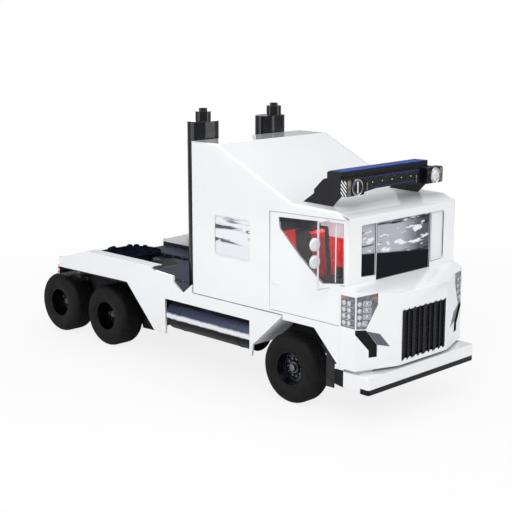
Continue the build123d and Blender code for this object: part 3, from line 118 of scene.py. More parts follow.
def row_y(station: float) -> float:
    """Row y of a station.

    Args:
        station: metres behind the front axle.

    Returns:
        The y coordinate in the shared frame.
    """
    return AXLE_Y + station


# ---- Node graphs ----
class Graph:
    """The node tree of a material or world, with short calls for the nodes that finishes use.

    Blender gives a Mix node's colours no names of their own, so blend() takes them by place.
    """

    def __init__(self, name: str, of_world: bool = False) -> None:
        """Makes an empty material or world.

        Args:
            name: its name.
            of_world: whether it is a world.
        """
        self.owner = (bpy.data.worlds if of_world else bpy.data.materials).new(name)
        self.owner.use_nodes = True
        self.tree = self.owner.node_tree
        self.tree.nodes.clear()
        self.output = self.add("OutputWorld" if of_world else "OutputMaterial", {})

    @cached_property
    def place(self) -> Socket:
        """Object coordinates."""
        return self.add("TexCoord", {}).outputs["Object"]

    def close(self, shader: bpy.types.Node) -> None:
        """Ends the tree in a shader."""
        self.feed(self.output.inputs["Surface"], shader.outputs[0])

    def add(self, kind: str, inputs: dict[str | int, object], **settings: object) -> bpy.types.Node:
        """Adds a node.

        Args:
            kind: the node's type, without Blender's prefix.
            inputs: what its sockets are fed, by their names or places.
            **settings: the node's own properties, set before its sockets.

        Returns:
            The node.
        """
        node = self.tree.nodes.new(f"ShaderNode{kind}")
        for name, value in settings.items():
            setattr(node, name, value)
        for socket, value in inputs.items():
            self.feed(node.inputs[socket], value)
        return node

    def feed(self, target: Socket, value: object) -> None:
        """Sets a socket to a number or colour, or links another socket to it.

        Args:
            target: the input socket.
            value: a socket, or what the socket's own value becomes.
        """
        if isinstance(value, Socket):
            self.tree.links.new(value, target)
        elif isinstance(value, tuple) and len(value) == 3 and target.type == "RGBA":
            target.default_value = (*value, 1.0)
        else:
            target.default_value = value

    def mapped(self, scale: Point = (1, 1, 1), shift: Point = (0, 0, 0)) -> Socket:
        """Object coordinates, scaled along each axis and shifted."""
        node = self.add("Mapping", {"Vector": self.place, "Location": shift, "Scale": scale})
        return node.outputs["Vector"]

    def noise(self, vector: Socket, scale: float, detail: float = 3.0, rough: float = 0.5) -> Socket:
        """A noise texture: its features per metre, its octaves and the weight of the finer ones."""
        node = self.add("TexNoise", {"Vector": vector, "Scale": scale, "Detail": detail,
                                     "Roughness": rough})
        return node.outputs["Fac"]

    def cells(self, vector: Socket, scale: float) -> Socket:
        """A Voronoi texture's distance to the edges of its cells."""
        node = self.add("TexVoronoi", {"Vector": vector, "Scale": scale}, feature="DISTANCE_TO_EDGE")
        return node.outputs["Distance"]

    def split(self, vector: Socket) -> list[Socket]:
        """The x, y and z of a vector."""
        return list(self.add("SeparateXYZ", {0: vector}).outputs)

    def math(self, kind: str, first: object, second: object = 0.0) -> Socket:
        """A Math node on sockets or numbers."""
        return self.add("Math", {0: first, 1: second}, operation=kind).outputs[0]

    def product(self, first: object, second: object) -> Socket:
        """One socket or number times another."""
        return self.math("MULTIPLY", first, second)

    def spread(self, value: Socket, low: float, high: float, out_low: float = 0.0,
               out_high: float = 1.0) -> Socket:
        """Maps the range from low to high to the outer range, clamped."""
        return self.add("MapRange", {"Value": value, "From Min": low, "From Max": high, "To Min": out_low,
                                     "To Max": out_high}).outputs["Result"]

    def blend(self, factor: Socket, first: object, second: object) -> Socket:
        """A colour between two, by a factor."""
        return self.add("Mix", {"Factor": factor, 6: first, 7: second}, data_type="RGBA").outputs[2]

    def relief(self, height: Socket, depth: float, under: Socket | None = None) -> Socket:
        """A bump.

        Args:
            height: relief from 0 to 1.
            depth: metres between the two.
            under: another bump's normal that this one lies on.

        Returns:
            The normal socket.
        """
        node = self.add("Bump", {"Strength": 1.0, "Distance": depth, "Height": height})
        if under is not None:
            self.feed(node.inputs["Normal"], under)
        return node.outputs["Normal"]

    def surface(self, **values: object) -> bpy.types.Material:
        """Ends the tree in a Principled shader.

        Args:
            **values: socket names in lower case with underscores, and their values or sockets.

        Returns:
            The finished material.
        """
        node = self.add("BsdfPrincipled", {})
        names = {socket.name.lower().replace(" ", "_"): socket for socket in node.inputs}
        for name, value in values.items():
            self.feed(names[name], value)
        self.close(node)
        return self.owner


# ---- Finishes ----
ROAD_DUST = (0.3, 0.28, 0.26)
DUST_BAND = (0.45, 1.3)          # heights between which settled dust fades out
# Painted light on the panes: white glints, and a pale glare on the far panes.
PAINTED_GLINT_WHITE = (0.85, 0.86, 0.9)
PAINTED_PALE_GLARE = (0.84, 0.85, 0.88)
# Painted shade under the roof, laid on the red linings.
ROOF_SHADE_DARK = (0.006, 0.003, 0.004)
LOZENGE_SLOPES = (1.7, 5.2)      # along and across one raised lozenge


@dataclass(frozen=True)
class Relief:
    """A grain with its features per metre and its depth in metres."""

    grain: Grain
    scale: float
    depth: float


@dataclass(frozen=True)
class Finish:
    """A surface finish: two tones in soft patches, uneven gloss and a fine relief."""

    name: str
    tone: Colour
    shade: Colour
    gloss: Span
    relief: Relief
    metallic: float = 0.0
    coat: float = 0.0
    patches: float = 2.5
    along: Point = (1.0, 1.0, 1.0)
    settle: float = 0.0
    specular: float = 0.5
    # height from which painted shade under the roof darkens the colour; 0 for none
    ceiling: float = 0.0

    def build(self) -> bpy.types.Material:
        """Builds the material.

        Returns:
            The material, ready for a slot.
        """
        graph = Graph(self.name)
        cloud = graph.noise(graph.mapped(self.along), self.patches, 5.0, 0.6)
        tint = graph.blend(graph.spread(cloud, 0.35, 0.65), self.tone, self.shade)
        height = graph.split(graph.place)[2]
        if self.settle > 0:
            low = graph.spread(height, *DUST_BAND, self.settle, 0.0)
            dust = graph.product(low, graph.spread(graph.noise(graph.place, 9.0, 6.0), 0.3, 0.7))
            tint = graph.blend(dust, tint, ROAD_DUST)
        # Painted shade under the roof: near black from a set height up.
        if self.ceiling > 0:
            above = graph.spread(height, self.ceiling - 0.004, self.ceiling + 0.004)
            tint = graph.blend(above, tint, ROOF_SHADE_DARK)
        fine = graph.noise(graph.mapped(self.along), self.patches * 7, 4.0)
        return graph.surface(base_color=tint, roughness=graph.spread(fine, 0.3, 0.7, *self.gloss),
                             metallic=self.metallic, coat_weight=self.coat, coat_roughness=0.04,
                             specular_ior_level=self.specular, normal=self.normal(graph))

    def normal(self, graph: Graph) -> Socket:
        """The relief of the finish's grain.

        Args:
            graph: the material's nodes.

        Returns:
            The normal socket.
        """
        place, grain, scale, under = graph.mapped(self.along), self.relief.grain, self.relief.scale, None
        if grain is Grain.TREAD_PLATE:
            height = self.lozenges(graph)
        elif grain is Grain.HIDE:
            height = graph.spread(graph.cells(place, scale), 0.0, 0.12)
            under = graph.relief(graph.noise(place, 14.0), 0.002)
        elif grain is Grain.QUILTED:
            height = self.quilts(graph)
            under = graph.relief(graph.cells(place, 420.0), 0.0003)
        elif grain is Grain.FLUTED:
            x, y, _ = graph.split(place)
            across = graph.math("ADD", graph.product(x, scale), graph.product(y, scale))
            height = graph.math("ABSOLUTE", graph.math("SINE", across))
        elif grain is Grain.WOVEN:
            x, y, z = graph.split(graph.mapped((scale,) * 3))
            warp = graph.math("SINE", graph.math("ADD", x, z))
            height = graph.product(warp, graph.math("SINE", graph.math("ADD", y, z)))
        else:
            height = graph.noise(place, scale, 2.0 if grain is Grain.PEEL else 6.0)
        return graph.relief(height, self.relief.depth, under)

    def lozenges(self, graph: Graph) -> Socket:
        """Raised lozenges that lean left and right in turn, as on tread plate.

        Args:
            graph: the material's nodes.

        Returns:
            The relief's height.
        """
        x, y, _ = graph.split(graph.mapped((self.relief.scale,) * 3))
        parity = graph.math("MODULO", graph.math("ADD", graph.math("FLOOR", x),
                                                 graph.math("FLOOR", y)), 2.0)
        lean = graph.math("SUBTRACT", 1.0, graph.product(graph.math("ABSOLUTE", parity), 2.0))
        u = graph.math("SUBTRACT", graph.math("FRACT", x), 0.5)
        v = graph.math("SUBTRACT", graph.math("FRACT", y), 0.5)
        tilted = graph.product(v, lean)
        length, width = (graph.math("POWER", graph.product(graph.math(kind, u, tilted), slope), 2.0)
                         for kind, slope in zip(("ADD", "SUBTRACT"), LOZENGE_SLOPES))
        slope = graph.math("MINIMUM", graph.math("ADD", length, width), 1.0)
        return graph.math("SUBTRACT", 1.0, slope)

    def quilts(self, graph: Graph) -> Socket:
        """Upright padded channels with sewn valleys between."""
        x, y, _ = graph.split(graph.mapped((self.relief.scale,) * 3))
        return graph.math("ABSOLUTE", graph.math("SINE", graph.math("ADD", x, y)))


def dimmed(tone: Colour, share: float) -> Colour:
    """A colour brought down to a share of itself."""
    return tuple(share * part for part in tone)


def pane_wave(graph: Graph) -> Socket:
    """The slight waviness of a pane of glass."""
    return graph.relief(graph.noise(graph.place, 2.2, 1.0), 0.004)


@dataclass(frozen=True)
class GlassFinish:
    """Tinted safety glass with a slight waviness."""

    name: str
    tint: Colour

    def build(self) -> bpy.types.Material:
        """Builds the material.

        Returns:
            The material, ready for a slot.
        """
        graph = Graph(self.name)
        film = graph.spread(graph.noise(graph.place, 1.3), 0.35, 0.7)
        tone = graph.blend(film, self.tint, dimmed(self.tint, 0.8))
        return graph.surface(base_color=tone, roughness=0.01, transmission_weight=1.0, ior=1.45,
                             specular_ior_level=0.2, normal=pane_wave(graph))


@dataclass(frozen=True)
class StreakedGlass:
    """Dark glass with a bright yard's reflection painted into its colour: stripes, glints, a darker side
    and a pale glare.
    """

    name: str
    low_tone: Colour
    high_tone: Colour
    streak_tone: Colour
    edge: float
    slope: float
    dusk: Span
    pale_from: float
    cover: float = 0.53
    sparkle: float = 0.56

    def build(self) -> bpy.types.Material:
        """Builds the material.

        Returns:
            The material, ready for a slot.
        """
        graph = Graph(self.name)
        x, _, z = graph.split(graph.place)
        level = graph.math("SUBTRACT", z, graph.product(x, self.slope))
        above = graph.spread(level, self.edge - 0.012, self.edge + 0.012)
        long_noise = graph.noise(graph.mapped((0.35, 0.35, 4.6)), 2.0, 5.0, 0.55)
        short_noise = graph.noise(graph.mapped((1.2, 1.2, 3.6), (3.1, 0, 1.7)), 2.4, 5.0, 0.62)
        # Painted reflection: level stripes of two greys and small white glints above the level line,
        # painted darker towards one side.
        streaks = graph.spread(long_noise, self.cover, self.cover + 0.05)
        glints = graph.spread(short_noise, self.sparkle, self.sparkle + 0.04)
        tone = graph.blend(streaks, self.high_tone, self.streak_tone)
        tone = graph.blend(graph.spread(x, *self.dusk, 0.0, 0.85), tone, self.streak_tone)
        tone = graph.blend(glints, tone, PAINTED_GLINT_WHITE)
        tone = graph.blend(above, self.low_tone, tone)
        # Painted pale glare on the panes from a set x on.
        far = graph.spread(x, self.pale_from, self.pale_from + 0.004)
        tone = graph.blend(far, tone, PAINTED_PALE_GLARE)
        return graph.surface(base_color=tone, roughness=0.06, transmission_weight=0.05, ior=1.45,
                             specular_ior_level=0.06, normal=pane_wave(graph))


@dataclass(frozen=True)
class LensFinish:
    """Moulded lamp lens: a clear coloured body with fine ribs."""

    name: str
    tone: Colour
    ribs: float

    def build(self) -> bpy.types.Material:
        """Builds the material.

        Returns:
            The material, ready for a slot.
        """
        graph = Graph(self.name)
        x, _, z = graph.split(graph.place)
        rib, bar = (graph.math("SINE", graph.product(along, self.ribs)) for along in (x, z))
        cloud = graph.spread(graph.noise(graph.place, 30.0), 0.3, 0.7)
        return graph.surface(base_color=graph.blend(cloud, self.tone, dimmed(self.tone, 0.7)),
                             roughness=0.08, coat_weight=1.0, coat_roughness=0.02, specular_ior_level=0.8,
                             normal=graph.relief(graph.product(rib, bar), 0.0012))


@dataclass(frozen=True)
class BandFinish:
    """Reflective tape in two tones that change with height, with a fine honeycomb."""

    name: str
    first: Colour
    second: Colour
    pitch: float

    def build(self) -> bpy.types.Material:
        """Builds the material.

        Returns:
            The material, ready for a slot.
        """
        graph = Graph(self.name)
        height = graph.split(graph.place)[2]
        step = graph.math("FRACT", graph.math("DIVIDE", height, self.pitch))
        tint = graph.blend(graph.spread(step, 0.49, 0.51), self.first, self.second)
        comb = graph.relief(graph.spread(graph.cells(graph.place, 320.0), 0.0, 0.1), 0.0004)
        return graph.surface(base_color=tint, roughness=0.25, coat_weight=0.7, coat_roughness=0.05,
                             normal=comb)


@dataclass(frozen=True)
class TankFinish:
    """Polished sheet in a blue-grey, with a painted highlight at the shoulder and painted shade below it.
    """

    name: str
    upper: Colour
    lower: Colour
    shine: Colour
    middle: float
    shoulder: Span

    def build(self) -> bpy.types.Material:
        """Builds the material.

        Returns:
            The material, ready for a slot.
        """
        graph = Graph(self.name)
        brushed = graph.mapped((6, 1, 6))
        height = graph.split(graph.place)[2]
        wander = graph.spread(graph.noise(graph.mapped((1, 6, 1)), 3.0, 4.0), 0.3, 0.7, -0.006, 0.006)
        level = graph.math("ADD", height, wander)
        # Painted shade under the middle line, then a painted highlight band up to the shoulder. Above it
        # is the blue-grey, partly the sheet's tone and partly painted sky reflection.
        line = graph.spread(level, self.middle - 0.012, self.middle + 0.004)
        tint = graph.blend(line, self.lower, self.shine)
        tint = graph.blend(graph.spread(level, *self.shoulder), tint, self.upper)
        rough = graph.spread(graph.noise(brushed, 20.0, 4.0), 0.3, 0.7, 0.16, 0.28)
        relief = graph.relief(graph.noise(brushed, 130.0, 6.0), 0.00012)
        return graph.surface(base_color=tint, roughness=rough, metallic=0.55, specular_ior_level=0.3,
                             normal=relief)


class Stock:
    """Every finish of the vehicle, built once when it is first asked for."""

    recipes: tuple[object, ...] = (
        Finish("body_white", (0.88, 0.88, 0.885), (0.86, 0.862, 0.87), (0.14, 0.2),
               Relief(Grain.PEEL, 160.0, 0.00005), coat=1.0, patches=0.8, settle=0.05),
        Finish("gloss_black", (0.002, 0.002, 0.003), (0.005, 0.005, 0.006), (0.2, 0.3),
               Relief(Grain.PEEL, 220.0, 0.00006), coat=0.1, specular=0.15),
        Finish("frame_black", (0.008, 0.008, 0.01), (0.018, 0.018, 0.02), (0.35, 0.55),
               Relief(Grain.CAST, 260.0, 0.0003), settle=0.12, specular=0.2),
        Finish("axle_grey", (0.05, 0.05, 0.053), (0.09, 0.088, 0.085), (0.5, 0.75),
               Relief(Grain.CAST, 180.0, 0.0008), metallic=0.6, settle=0.35),
        Finish("engine_grey", (0.14, 0.14, 0.15), (0.2, 0.2, 0.21), (0.45, 0.7),
               Relief(Grain.CAST, 120.0, 0.001), metallic=0.5, settle=0.2),
        Finish("spring_steel", (0.02, 0.02, 0.023), (0.045, 0.042, 0.04), (0.4, 0.6),
               Relief(Grain.BRUSHED, 90.0, 0.0004), metallic=0.5, along=(8, 1, 8)),
        Finish("tyre_rubber", (0.0035, 0.0035, 0.004), (0.006, 0.006, 0.006), (0.5, 0.65),
               Relief(Grain.MOULDED, 500.0, 0.0002), patches=5.0, settle=0.02, specular=0.16),
        Finish("rim_dark", (0.045, 0.048, 0.056), (0.11, 0.115, 0.13), (0.14, 0.24),
               Relief(Grain.BRUSHED, 55.0, 0.0035), metallic=1.0, along=(0.25, 1, 1)),
        Finish("nut_metal", (0.2, 0.205, 0.22), (0.11, 0.115, 0.13), (0.14, 0.26),
               Relief(Grain.BRUSHED, 200.0, 0.00008), metallic=1.0),
        Finish("bright_metal", (0.62, 0.63, 0.66), (0.5, 0.51, 0.54), (0.1, 0.22),
               Relief(Grain.BRUSHED, 200.0, 0.00008), metallic=1.0, along=(1, 5, 1)),
        # The tanks' highlight and the shade under it are painted by height.
        TankFinish("tank_polished", (0.038, 0.05, 0.088), (0.002, 0.002, 0.003), (0.87, 0.88, 0.9),
                   middle=0.845, shoulder=(0.905, 0.935)),
        Finish("stack_black", (0.003, 0.003, 0.005), (0.007, 0.007, 0.011), (0.1, 0.2),
               Relief(Grain.PEEL, 60.0, 0.00015), coat=0.25, specular=0.3),
        Finish("liner_dark", (0.014, 0.014, 0.016), (0.024, 0.024, 0.027), (0.5, 0.7),
               Relief(Grain.MOULDED, 320.0, 0.0005), settle=0.08, specular=0.2),
        Finish("guard_pale", (0.88, 0.885, 0.9), (0.82, 0.825, 0.84), (0.4, 0.6),
               Relief(Grain.MOULDED, 320.0, 0.0003)),
        Finish("approach_grey", (0.062, 0.064, 0.07), (0.038, 0.04, 0.046), (0.45, 0.6),
               Relief(Grain.BRUSHED, 120.0, 0.0003), along=(6, 1, 1), specular=0.06),
        # A grey that paints the shade on the ducts' bevelled sides.
        Finish("facet_grey", (0.105, 0.108, 0.125), (0.09, 0.093, 0.108), (0.3, 0.4),
               Relief(Grain.PEEL, 160.0, 0.00005), coat=0.1),
        Finish("deck_grey", (0.04, 0.048, 0.078), (0.028, 0.034, 0.056), (0.45, 0.6),
               Relief(Grain.TREAD_PLATE, 22.0, 0.003), patches=4.0, specular=0.03),
        Finish("deck_black", (0.006, 0.006, 0.008), (0.01, 0.01, 0.012), (0.45, 0.6),
               Relief(Grain.TREAD_PLATE, 26.0, 0.003), specular=0.03),
        Finish("fifth_black", (0.0015, 0.002, 0.004), (0.009, 0.012, 0.024), (0.5, 0.7),
               Relief(Grain.CAST, 26.0, 0.004), patches=9.0, specular=0.0),
        Finish("visor_black", (0.003, 0.003, 0.005), (0.007, 0.007, 0.01), (0.25, 0.4),
               Relief(Grain.PEEL, 240.0, 0.0001), specular=0.2),
        Finish("cheek_grey", (0.006, 0.006, 0.007), (0.01, 0.01, 0.012), (0.35, 0.5),
               Relief(Grain.MOULDED, 300.0, 0.0002), specular=0.25),
        Finish("slot_blue", (0.018, 0.04, 0.19), (0.03, 0.06, 0.25), (0.25, 0.4),
               Relief(Grain.BRUSHED, 200.0, 0.0001), metallic=0.2, specular=0.2),
        Finish("hood_blue", (0.03, 0.068, 0.3), (0.04, 0.085, 0.36), (0.4, 0.55),
               Relief(Grain.BRUSHED, 200.0, 0.0001), specular=0.04),
        Finish("lamp_tray", (0.3, 0.31, 0.34), (0.11, 0.115, 0.135), (0.15, 0.3),
               Relief(Grain.MOULDED, 60.0, 0.003), metallic=0.7, patches=26.0),
        Finish("lamp_bowl", (0.55, 0.56, 0.59), (0.38, 0.39, 0.42), (0.12, 0.2),
               Relief(Grain.FLUTED, 330.0, 0.0016), metallic=1.0),
        Finish("mesh_grey", (0.035, 0.035, 0.038), (0.022, 0.022, 0.025), (0.35, 0.5),
               Relief(Grain.CAST, 200.0, 0.0003), specular=0.4),
        Finish("screen_black", (0.002, 0.002, 0.003), (0.004, 0.004, 0.005), (0.5, 0.7),
               Relief(Grain.WOVEN, 900.0, 0.0012), specular=0.1),
        Finish("seal_rubber", (0.008, 0.008, 0.009), (0.014, 0.014, 0.015), (0.4, 0.6),
               Relief(Grain.MOULDED, 600.0, 0.0001)),
        Finish("seat_red", (0.9, 0.003, 0.004), (0.7, 0.002, 0.003), (0.35, 0.5),
               Relief(Grain.HIDE, 330.0, 0.0006), patches=5.0, specular=0.06),
        # The red linings carry painted shade under the roof.
        Finish("lining_red", (0.9, 0.003, 0.004), (0.62, 0.002, 0.003), (0.4, 0.55),
               Relief(Grain.QUILTED, 26.0, 0.012), patches=3.0, specular=0.06, ceiling=2.1),
        Finish("wall_red", (0.9, 0.003, 0.004), (0.7, 0.002, 0.003), (0.4, 0.55),
               Relief(Grain.HIDE, 330.0, 0.0006), patches=5.0, specular=0.06, ceiling=2.1),
        Finish("seat_black", (0.003, 0.003, 0.004), (0.006, 0.006, 0.007), (0.35, 0.5),
               Relief(Grain.HIDE, 300.0, 0.0005), specular=0.2),
        Finish("dash_black", (0.004, 0.004, 0.007), (0.008, 0.008, 0.012), (0.45, 0.6),
               Relief(Grain.MOULDED, 420.0, 0.0004), specular=0.2),
        Finish("floor_dark", (0.02, 0.02, 0.022), (0.035, 0.035, 0.037), (0.7, 0.9),
               Relief(Grain.WOVEN, 500.0, 0.0015)),
        Finish("mirror_shell", (0.78, 0.78, 0.8), (0.7, 0.7, 0.72), (0.08, 0.14),
               Relief(Grain.PEEL, 200.0, 0.00005), metallic=0.2, coat=1.0),
        Finish("mirror_glass", (0.85, 0.87, 0.9), (0.8, 0.82, 0.86), (0.02, 0.04),
               Relief(Grain.PEEL, 30.0, 0.00005), metallic=1.0),
        # The panes' reflections and glare are painted into their colour.
        StreakedGlass("screen_glass", (0.002, 0.003, 0.007), (0.46, 0.47, 0.52), (0.04, 0.045, 0.055),
                      edge=2.33, slope=-0.09, dusk=(-0.05, 0.38), pale_from=0.642),
        StreakedGlass("sleeper_glass", (0.82, 0.83, 0.86), (0.86, 0.87, 0.9), (0.1, 0.105, 0.125),
                      edge=2.28, slope=0.0, dusk=(9.0, 10.0), pale_from=9.0, cover=0.505),
        GlassFinish("side_glass", (0.93, 0.94, 0.96)),
        LensFinish("lens_white", (0.78, 0.78, 0.8), 240.0),
        LensFinish("lens_amber", (0.42, 0.19, 0.05), 300.0),
        LensFinish("lens_brown", (0.06, 0.024, 0.004), 300.0),
        LensFinish("lens_red", (0.45, 0.01, 0.01), 300.0),
        BandFinish("tail_tape", (0.62, 0.01, 0.012), (0.8, 0.8, 0.8), 0.08),
    )

    def __init__(self) -> None:
        """Starts with nothing built."""
        self._made: dict[str, bpy.types.Material] = {}
        self._by_name = {recipe.name: recipe for recipe in self.recipes}

    def __getitem__(self, name: str) -> bpy.types.Material:
        """The finish of that name as a material.

        Args:
            name: the finish's name.

        Returns:
            The material.
        """
        if name not in self._made:
            self._made[name] = self._by_name[name].build()
        return self._made[name]


STOCK = Stock()


# ---- Mesh helpers ----
SHARP_EDGE = math.radians(24)
SAME_POINT = 5e-6        # a turned shape's pole closes within this
NODE_POINT = 2e-5        # and a CAD mesh's seams within this


def place_object(name: str, data: bpy.types.ID) -> bpy.types.Object:
    """Makes an object of the data and links it to the scene."""
    item = bpy.data.objects.new(name, data)
    bpy.context.scene.collection.objects.link(item)
    return item


def mesh_from(name: str, work: Work) -> bpy.types.Mesh:
    """Makes a mesh of a bmesh and frees the bmesh."""
    mesh = bpy.data.meshes.new(name)
    work.to_mesh(mesh)
    work.free()
    return mesh


def finish_piece(name: str, work: Work, finishes: Sequence[str], body: str,
                 smooth: float = 35.0, stands_for: Sequence[str] = ()) -> bpy.types.Object:
    """Turns a bmesh into a dressed piece that rides on a body.

    Args:
        name: the piece's name.
        work: its mesh, freed here.
        finishes: the finishes of its material slots, in order.
        body: the CAD body it moves with.
        smooth: edges under this many degrees are shaded smooth.
        stands_for: CAD nodes that it replaces.

    Returns:
        The piece.
    """
    mesh = mesh_from(name, work)
    for finish in finishes:
        mesh.materials.append(STOCK[finish])
    mesh.shade_smooth()
    mesh.set_sharp_from_angle(angle=math.radians(smooth))
    piece = place_object(name, mesh)
    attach(piece, body)
    if stands_for:
        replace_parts(piece, *stands_for)
    LOG.info("%s rides on %s, %d faces", name, body, len(mesh.polygons))
    return piece


def finish_pair(name: str, work: Work, finish: str, body: str, smooth: float = 35.0) -> None:
    """Finishes a piece of the +X side together with its twin across x = 0.

    Args:
        name: the piece's name.
        work: the +X side's mesh, freed here.
        finish: its finish.
        body: the CAD body it moves with.
        smooth: edges under this many degrees are shaded smooth.
    """
    add_mirrored(work)
    finish_piece(name, work, (finish,), body, smooth)


def of_kind(geometry: Iterable[object], kind: type) -> list:
    """The elements of one bmesh type in an operator's result."""
    return [item for item in geometry if isinstance(item, kind)]


def edges_at(verts: Iterable[Vert]) -> list[Edge]:
    """The edges that meet at some vertices, each once."""
    return list(dict.fromkeys(edge for vert in verts for edge in vert.link_edges))


def new_faces(work: Work, before: set[Face]) -> list[Face]:
    """The faces that a mesh has gained."""
    return [face for face in work.faces if face not in before]


def at_side(x: float, outline: Outline) -> list[Point]:
    """An outline of (station, height) corners as points at a distance from the centre plane."""
    return [(x, row_y(station), z) for station, z in outline]


def add_mirrored(work: Work) -> None:
    """Adds a copy of a whole mesh, mirrored across x = 0.

    Args:
        work: the mesh.
    """
    copy = bmesh.ops.duplicate(work, geom=work.verts[:] + work.edges[:] + work.faces[:])["geom"]
    bmesh.ops.scale(work, vec=(-1, 1, 1), verts=of_kind(copy, Vert))
    bmesh.ops.reverse_faces(work, faces=of_kind(copy, Face))


def round_edges(work: Work, edges: Iterable[Edge], radius: float, segments: int = 2,
                clamp: bool = True) -> None:
    """Bevels edges to a round.

    Args:
        work: the mesh.
        edges: the edges.
        radius: radius of the rounding.
        segments: its steps.
        clamp: whether a short neighbour holds the radius down.
    """
    bmesh.ops.bevel(work, geom=list(edges), offset=radius, offset_type="OFFSET", segments=segments,
                    profile=0.5, affect="EDGES", material=-1, clamp_overlap=clamp)


def push_faces(work: Work, faces: Sequence[Face], push: Point) -> list[Face]:
    """Extrudes faces.

    Args:
        work: the mesh.
        faces: what is extruded.
        push: how far, as a vector.

    Returns:
        The moved faces.
    """
    moved = bmesh.ops.extrude_face_region(work, geom=faces)["geom"]
    bmesh.ops.translate(work, vec=push, verts=of_kind(moved, Vert))
    return of_kind(moved, Face)


def add_rod(work: Work, start: Point, end: Point, radius: float, segments: int = 16) -> None:
    """Adds a capped cylinder between two points.

    Args:
        work: the mesh.
        start: one end's centre.
        end: the other end's centre.
        radius: its radius.
        segments: faces round it.
    """
    a, b = Vector(start), Vector(end)
    turn = (b - a).to_track_quat("Z", "Y").to_matrix().to_4x4()
    bmesh.ops.create_cone(work, cap_ends=True, segments=segments, radius1=radius, radius2=radius,
                          depth=(b - a).length, matrix=Matrix.Translation((a + b) / 2) @ turn)


def add_block(work: Work, low: Point, high: Point, round_by: float = 0.0, segments: int = 2) -> None:
    """Adds a box between two corners, its edges rounded.

    Args:
        work: the mesh.
        low: lowest corner.
        high: highest corner.
        round_by: radius of its edges.
        segments: steps of that radius.
    """
    a, b = Vector(low), Vector(high)
    size = Matrix.Diagonal((*(b - a), 1.0))
    made = bmesh.ops.create_cube(work, size=1.0, matrix=Matrix.Translation((a + b) / 2) @ size)["verts"]
    if round_by > 0:
        round_edges(work, edges_at(made), round_by, segments)


def add_side_block(work: Work, side: Side, low: Point, high: Point, round_by: float,
                   segments: int = 2) -> None:
    """Adds a rounded box, given on the +X side, to either side.

    Args:
        work: the mesh.
        side: the side that it goes to.
        low: lowest corner on the +X side.
        high: highest corner on the +X side.
        round_by: radius of its edges.
        segments: steps of that radius.
    """
    near, far = sorted((side.value * low[0], side.value * high[0]))
    add_block(work, (near, *low[1:]), (far, *high[1:]), round_by, segments)


def add_turned(work: Work, profile: Outline, origin: Point, axis: Point, steps: int = 48) -> None:
    """Spins a profile all the way round an axis.

    Args:
        work: the mesh.
        profile: (distance along the axis, radius) points.
        origin: where the distances start.
        axis: the direction of the axis.
        steps: faces round it.
    """
    centre, along = Vector(origin), Vector(axis).normalized()
    out = along.orthogonal().normalized()
    before = set(work.faces)
    verts = [work.verts.new(centre + along * h + out * r) for h, r in profile]
    edges = [work.edges.new(pair) for pair in zip(verts, verts[1:])]
    bmesh.ops.spin(work, geom=verts + edges, cent=centre, axis=along, angle=math.tau, steps=steps,
                   use_merge=True)
    touched = list(dict.fromkeys(vert for face in new_faces(work, before) for vert in face.verts))
    bmesh.ops.remove_doubles(work, verts=touched, dist=SAME_POINT)
    bmesh.ops.recalc_face_normals(work, faces=new_faces(work, before))


def outline_face(work: Work, outline: Sequence[Point], round_corners: float) -> Face:
    """Adds one flat face.

    Args:
        work: the mesh.
        outline: its corners in order.
        round_corners: radius of its corners.

    Returns:
        The face.
    """
    before = set(work.faces)
    face = work.faces.new([work.verts.new(point) for point in outline])
    if round_corners > 0:
        bmesh.ops.bevel(work, geom=face.verts[:], offset=round_corners, offset_type="OFFSET",
                        segments=5, profile=0.5, affect="VERTICES", material=-1)
        face = new_faces(work, before)[0]
    return face


def add_plate(work: Work, outline: Sequence[Point], push: Point, round_corners: float = 0.0) -> None:
    """Adds a flat plate from an outline.

    Args:
        work: the mesh.
        outline: its corners in order.
        push: the plate's thickness as a vector.
        round_corners: radius of its corners.
    """
    before = set(work.faces)
    push_faces(work, [outline_face(work, outline, round_corners)], push)
    bmesh.ops.recalc_face_normals(work, faces=new_faces(work, before))


def add_gasket(work: Work, outline: Sequence[Point], width: float, push: Point,
               round_corners: float = 0.0) -> None:
    """Adds a rubber frame that lies inside an outline.

    Args:
        work: the mesh.
        outline: the opening's corners in order.
        width: width of the frame, inwards.
        push: how far it stands up, as a vector.
        round_corners: radius of the opening's corners.
    """
    before = set(work.faces)
    face = outline_face(work, outline, round_corners)
    bmesh.ops.inset_region(work, faces=[face], thickness=width, use_even_offset=True,
                           use_boundary=True)
    bmesh.ops.delete(work, geom=[face], context="FACES_ONLY")
    top = push_faces(work, new_faces(work, before), push)
    bmesh.ops.recalc_face_normals(work, faces=new_faces(work, before))
    rims = dict.fromkeys(edge for item in top for edge in item.edges
                         if len(edge.link_faces) == 2 and edge.calc_face_angle(0.0) > 1.0)
    round_edges(work, rims, width * 0.25)


def node_copy(node: str) -> Work:
    """A CAD node's mesh, merged and with its flat faces joined.

    Args:
        node: the node's name.

    Returns:
        The copy.
    """
    work = bmesh.new()
    work.from_mesh(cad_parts[node].data)
    bmesh.ops.remove_doubles(work, verts=work.verts[:], dist=NODE_POINT)
    bmesh.ops.dissolve_limit(work, angle_limit=math.radians(0.6), verts=work.verts[:],
                             edges=work.edges[:], delimit=set())
    return work


def soften(work: Work, radius: float, shortest: float = 0.06) -> None:
    """Rounds the long sharp edges of a mesh.

    Args:
        work: the mesh.
        radius: radius of the rounding.
        shortest: edges under this length stay sharp.
    """
    sharp = [edge for edge in work.edges if len(edge.link_faces) == 2
             and edge.calc_length() > shortest and edge.calc_face_angle(0.0) > SHARP_EDGE]
    round_edges(work, sharp, radius, clamp=False)


def keep_flats_flat(piece: bpy.types.Object) -> None:
    """Lets a piece's large faces lead its shading.

    Args:
        piece: the piece.
    """
    weigh = piece.modifiers.new("flats", "WEIGHTED_NORMAL")
    weigh.keep_sharp = True
    weigh.weight = 80


Picker = Callable[[Face], int]


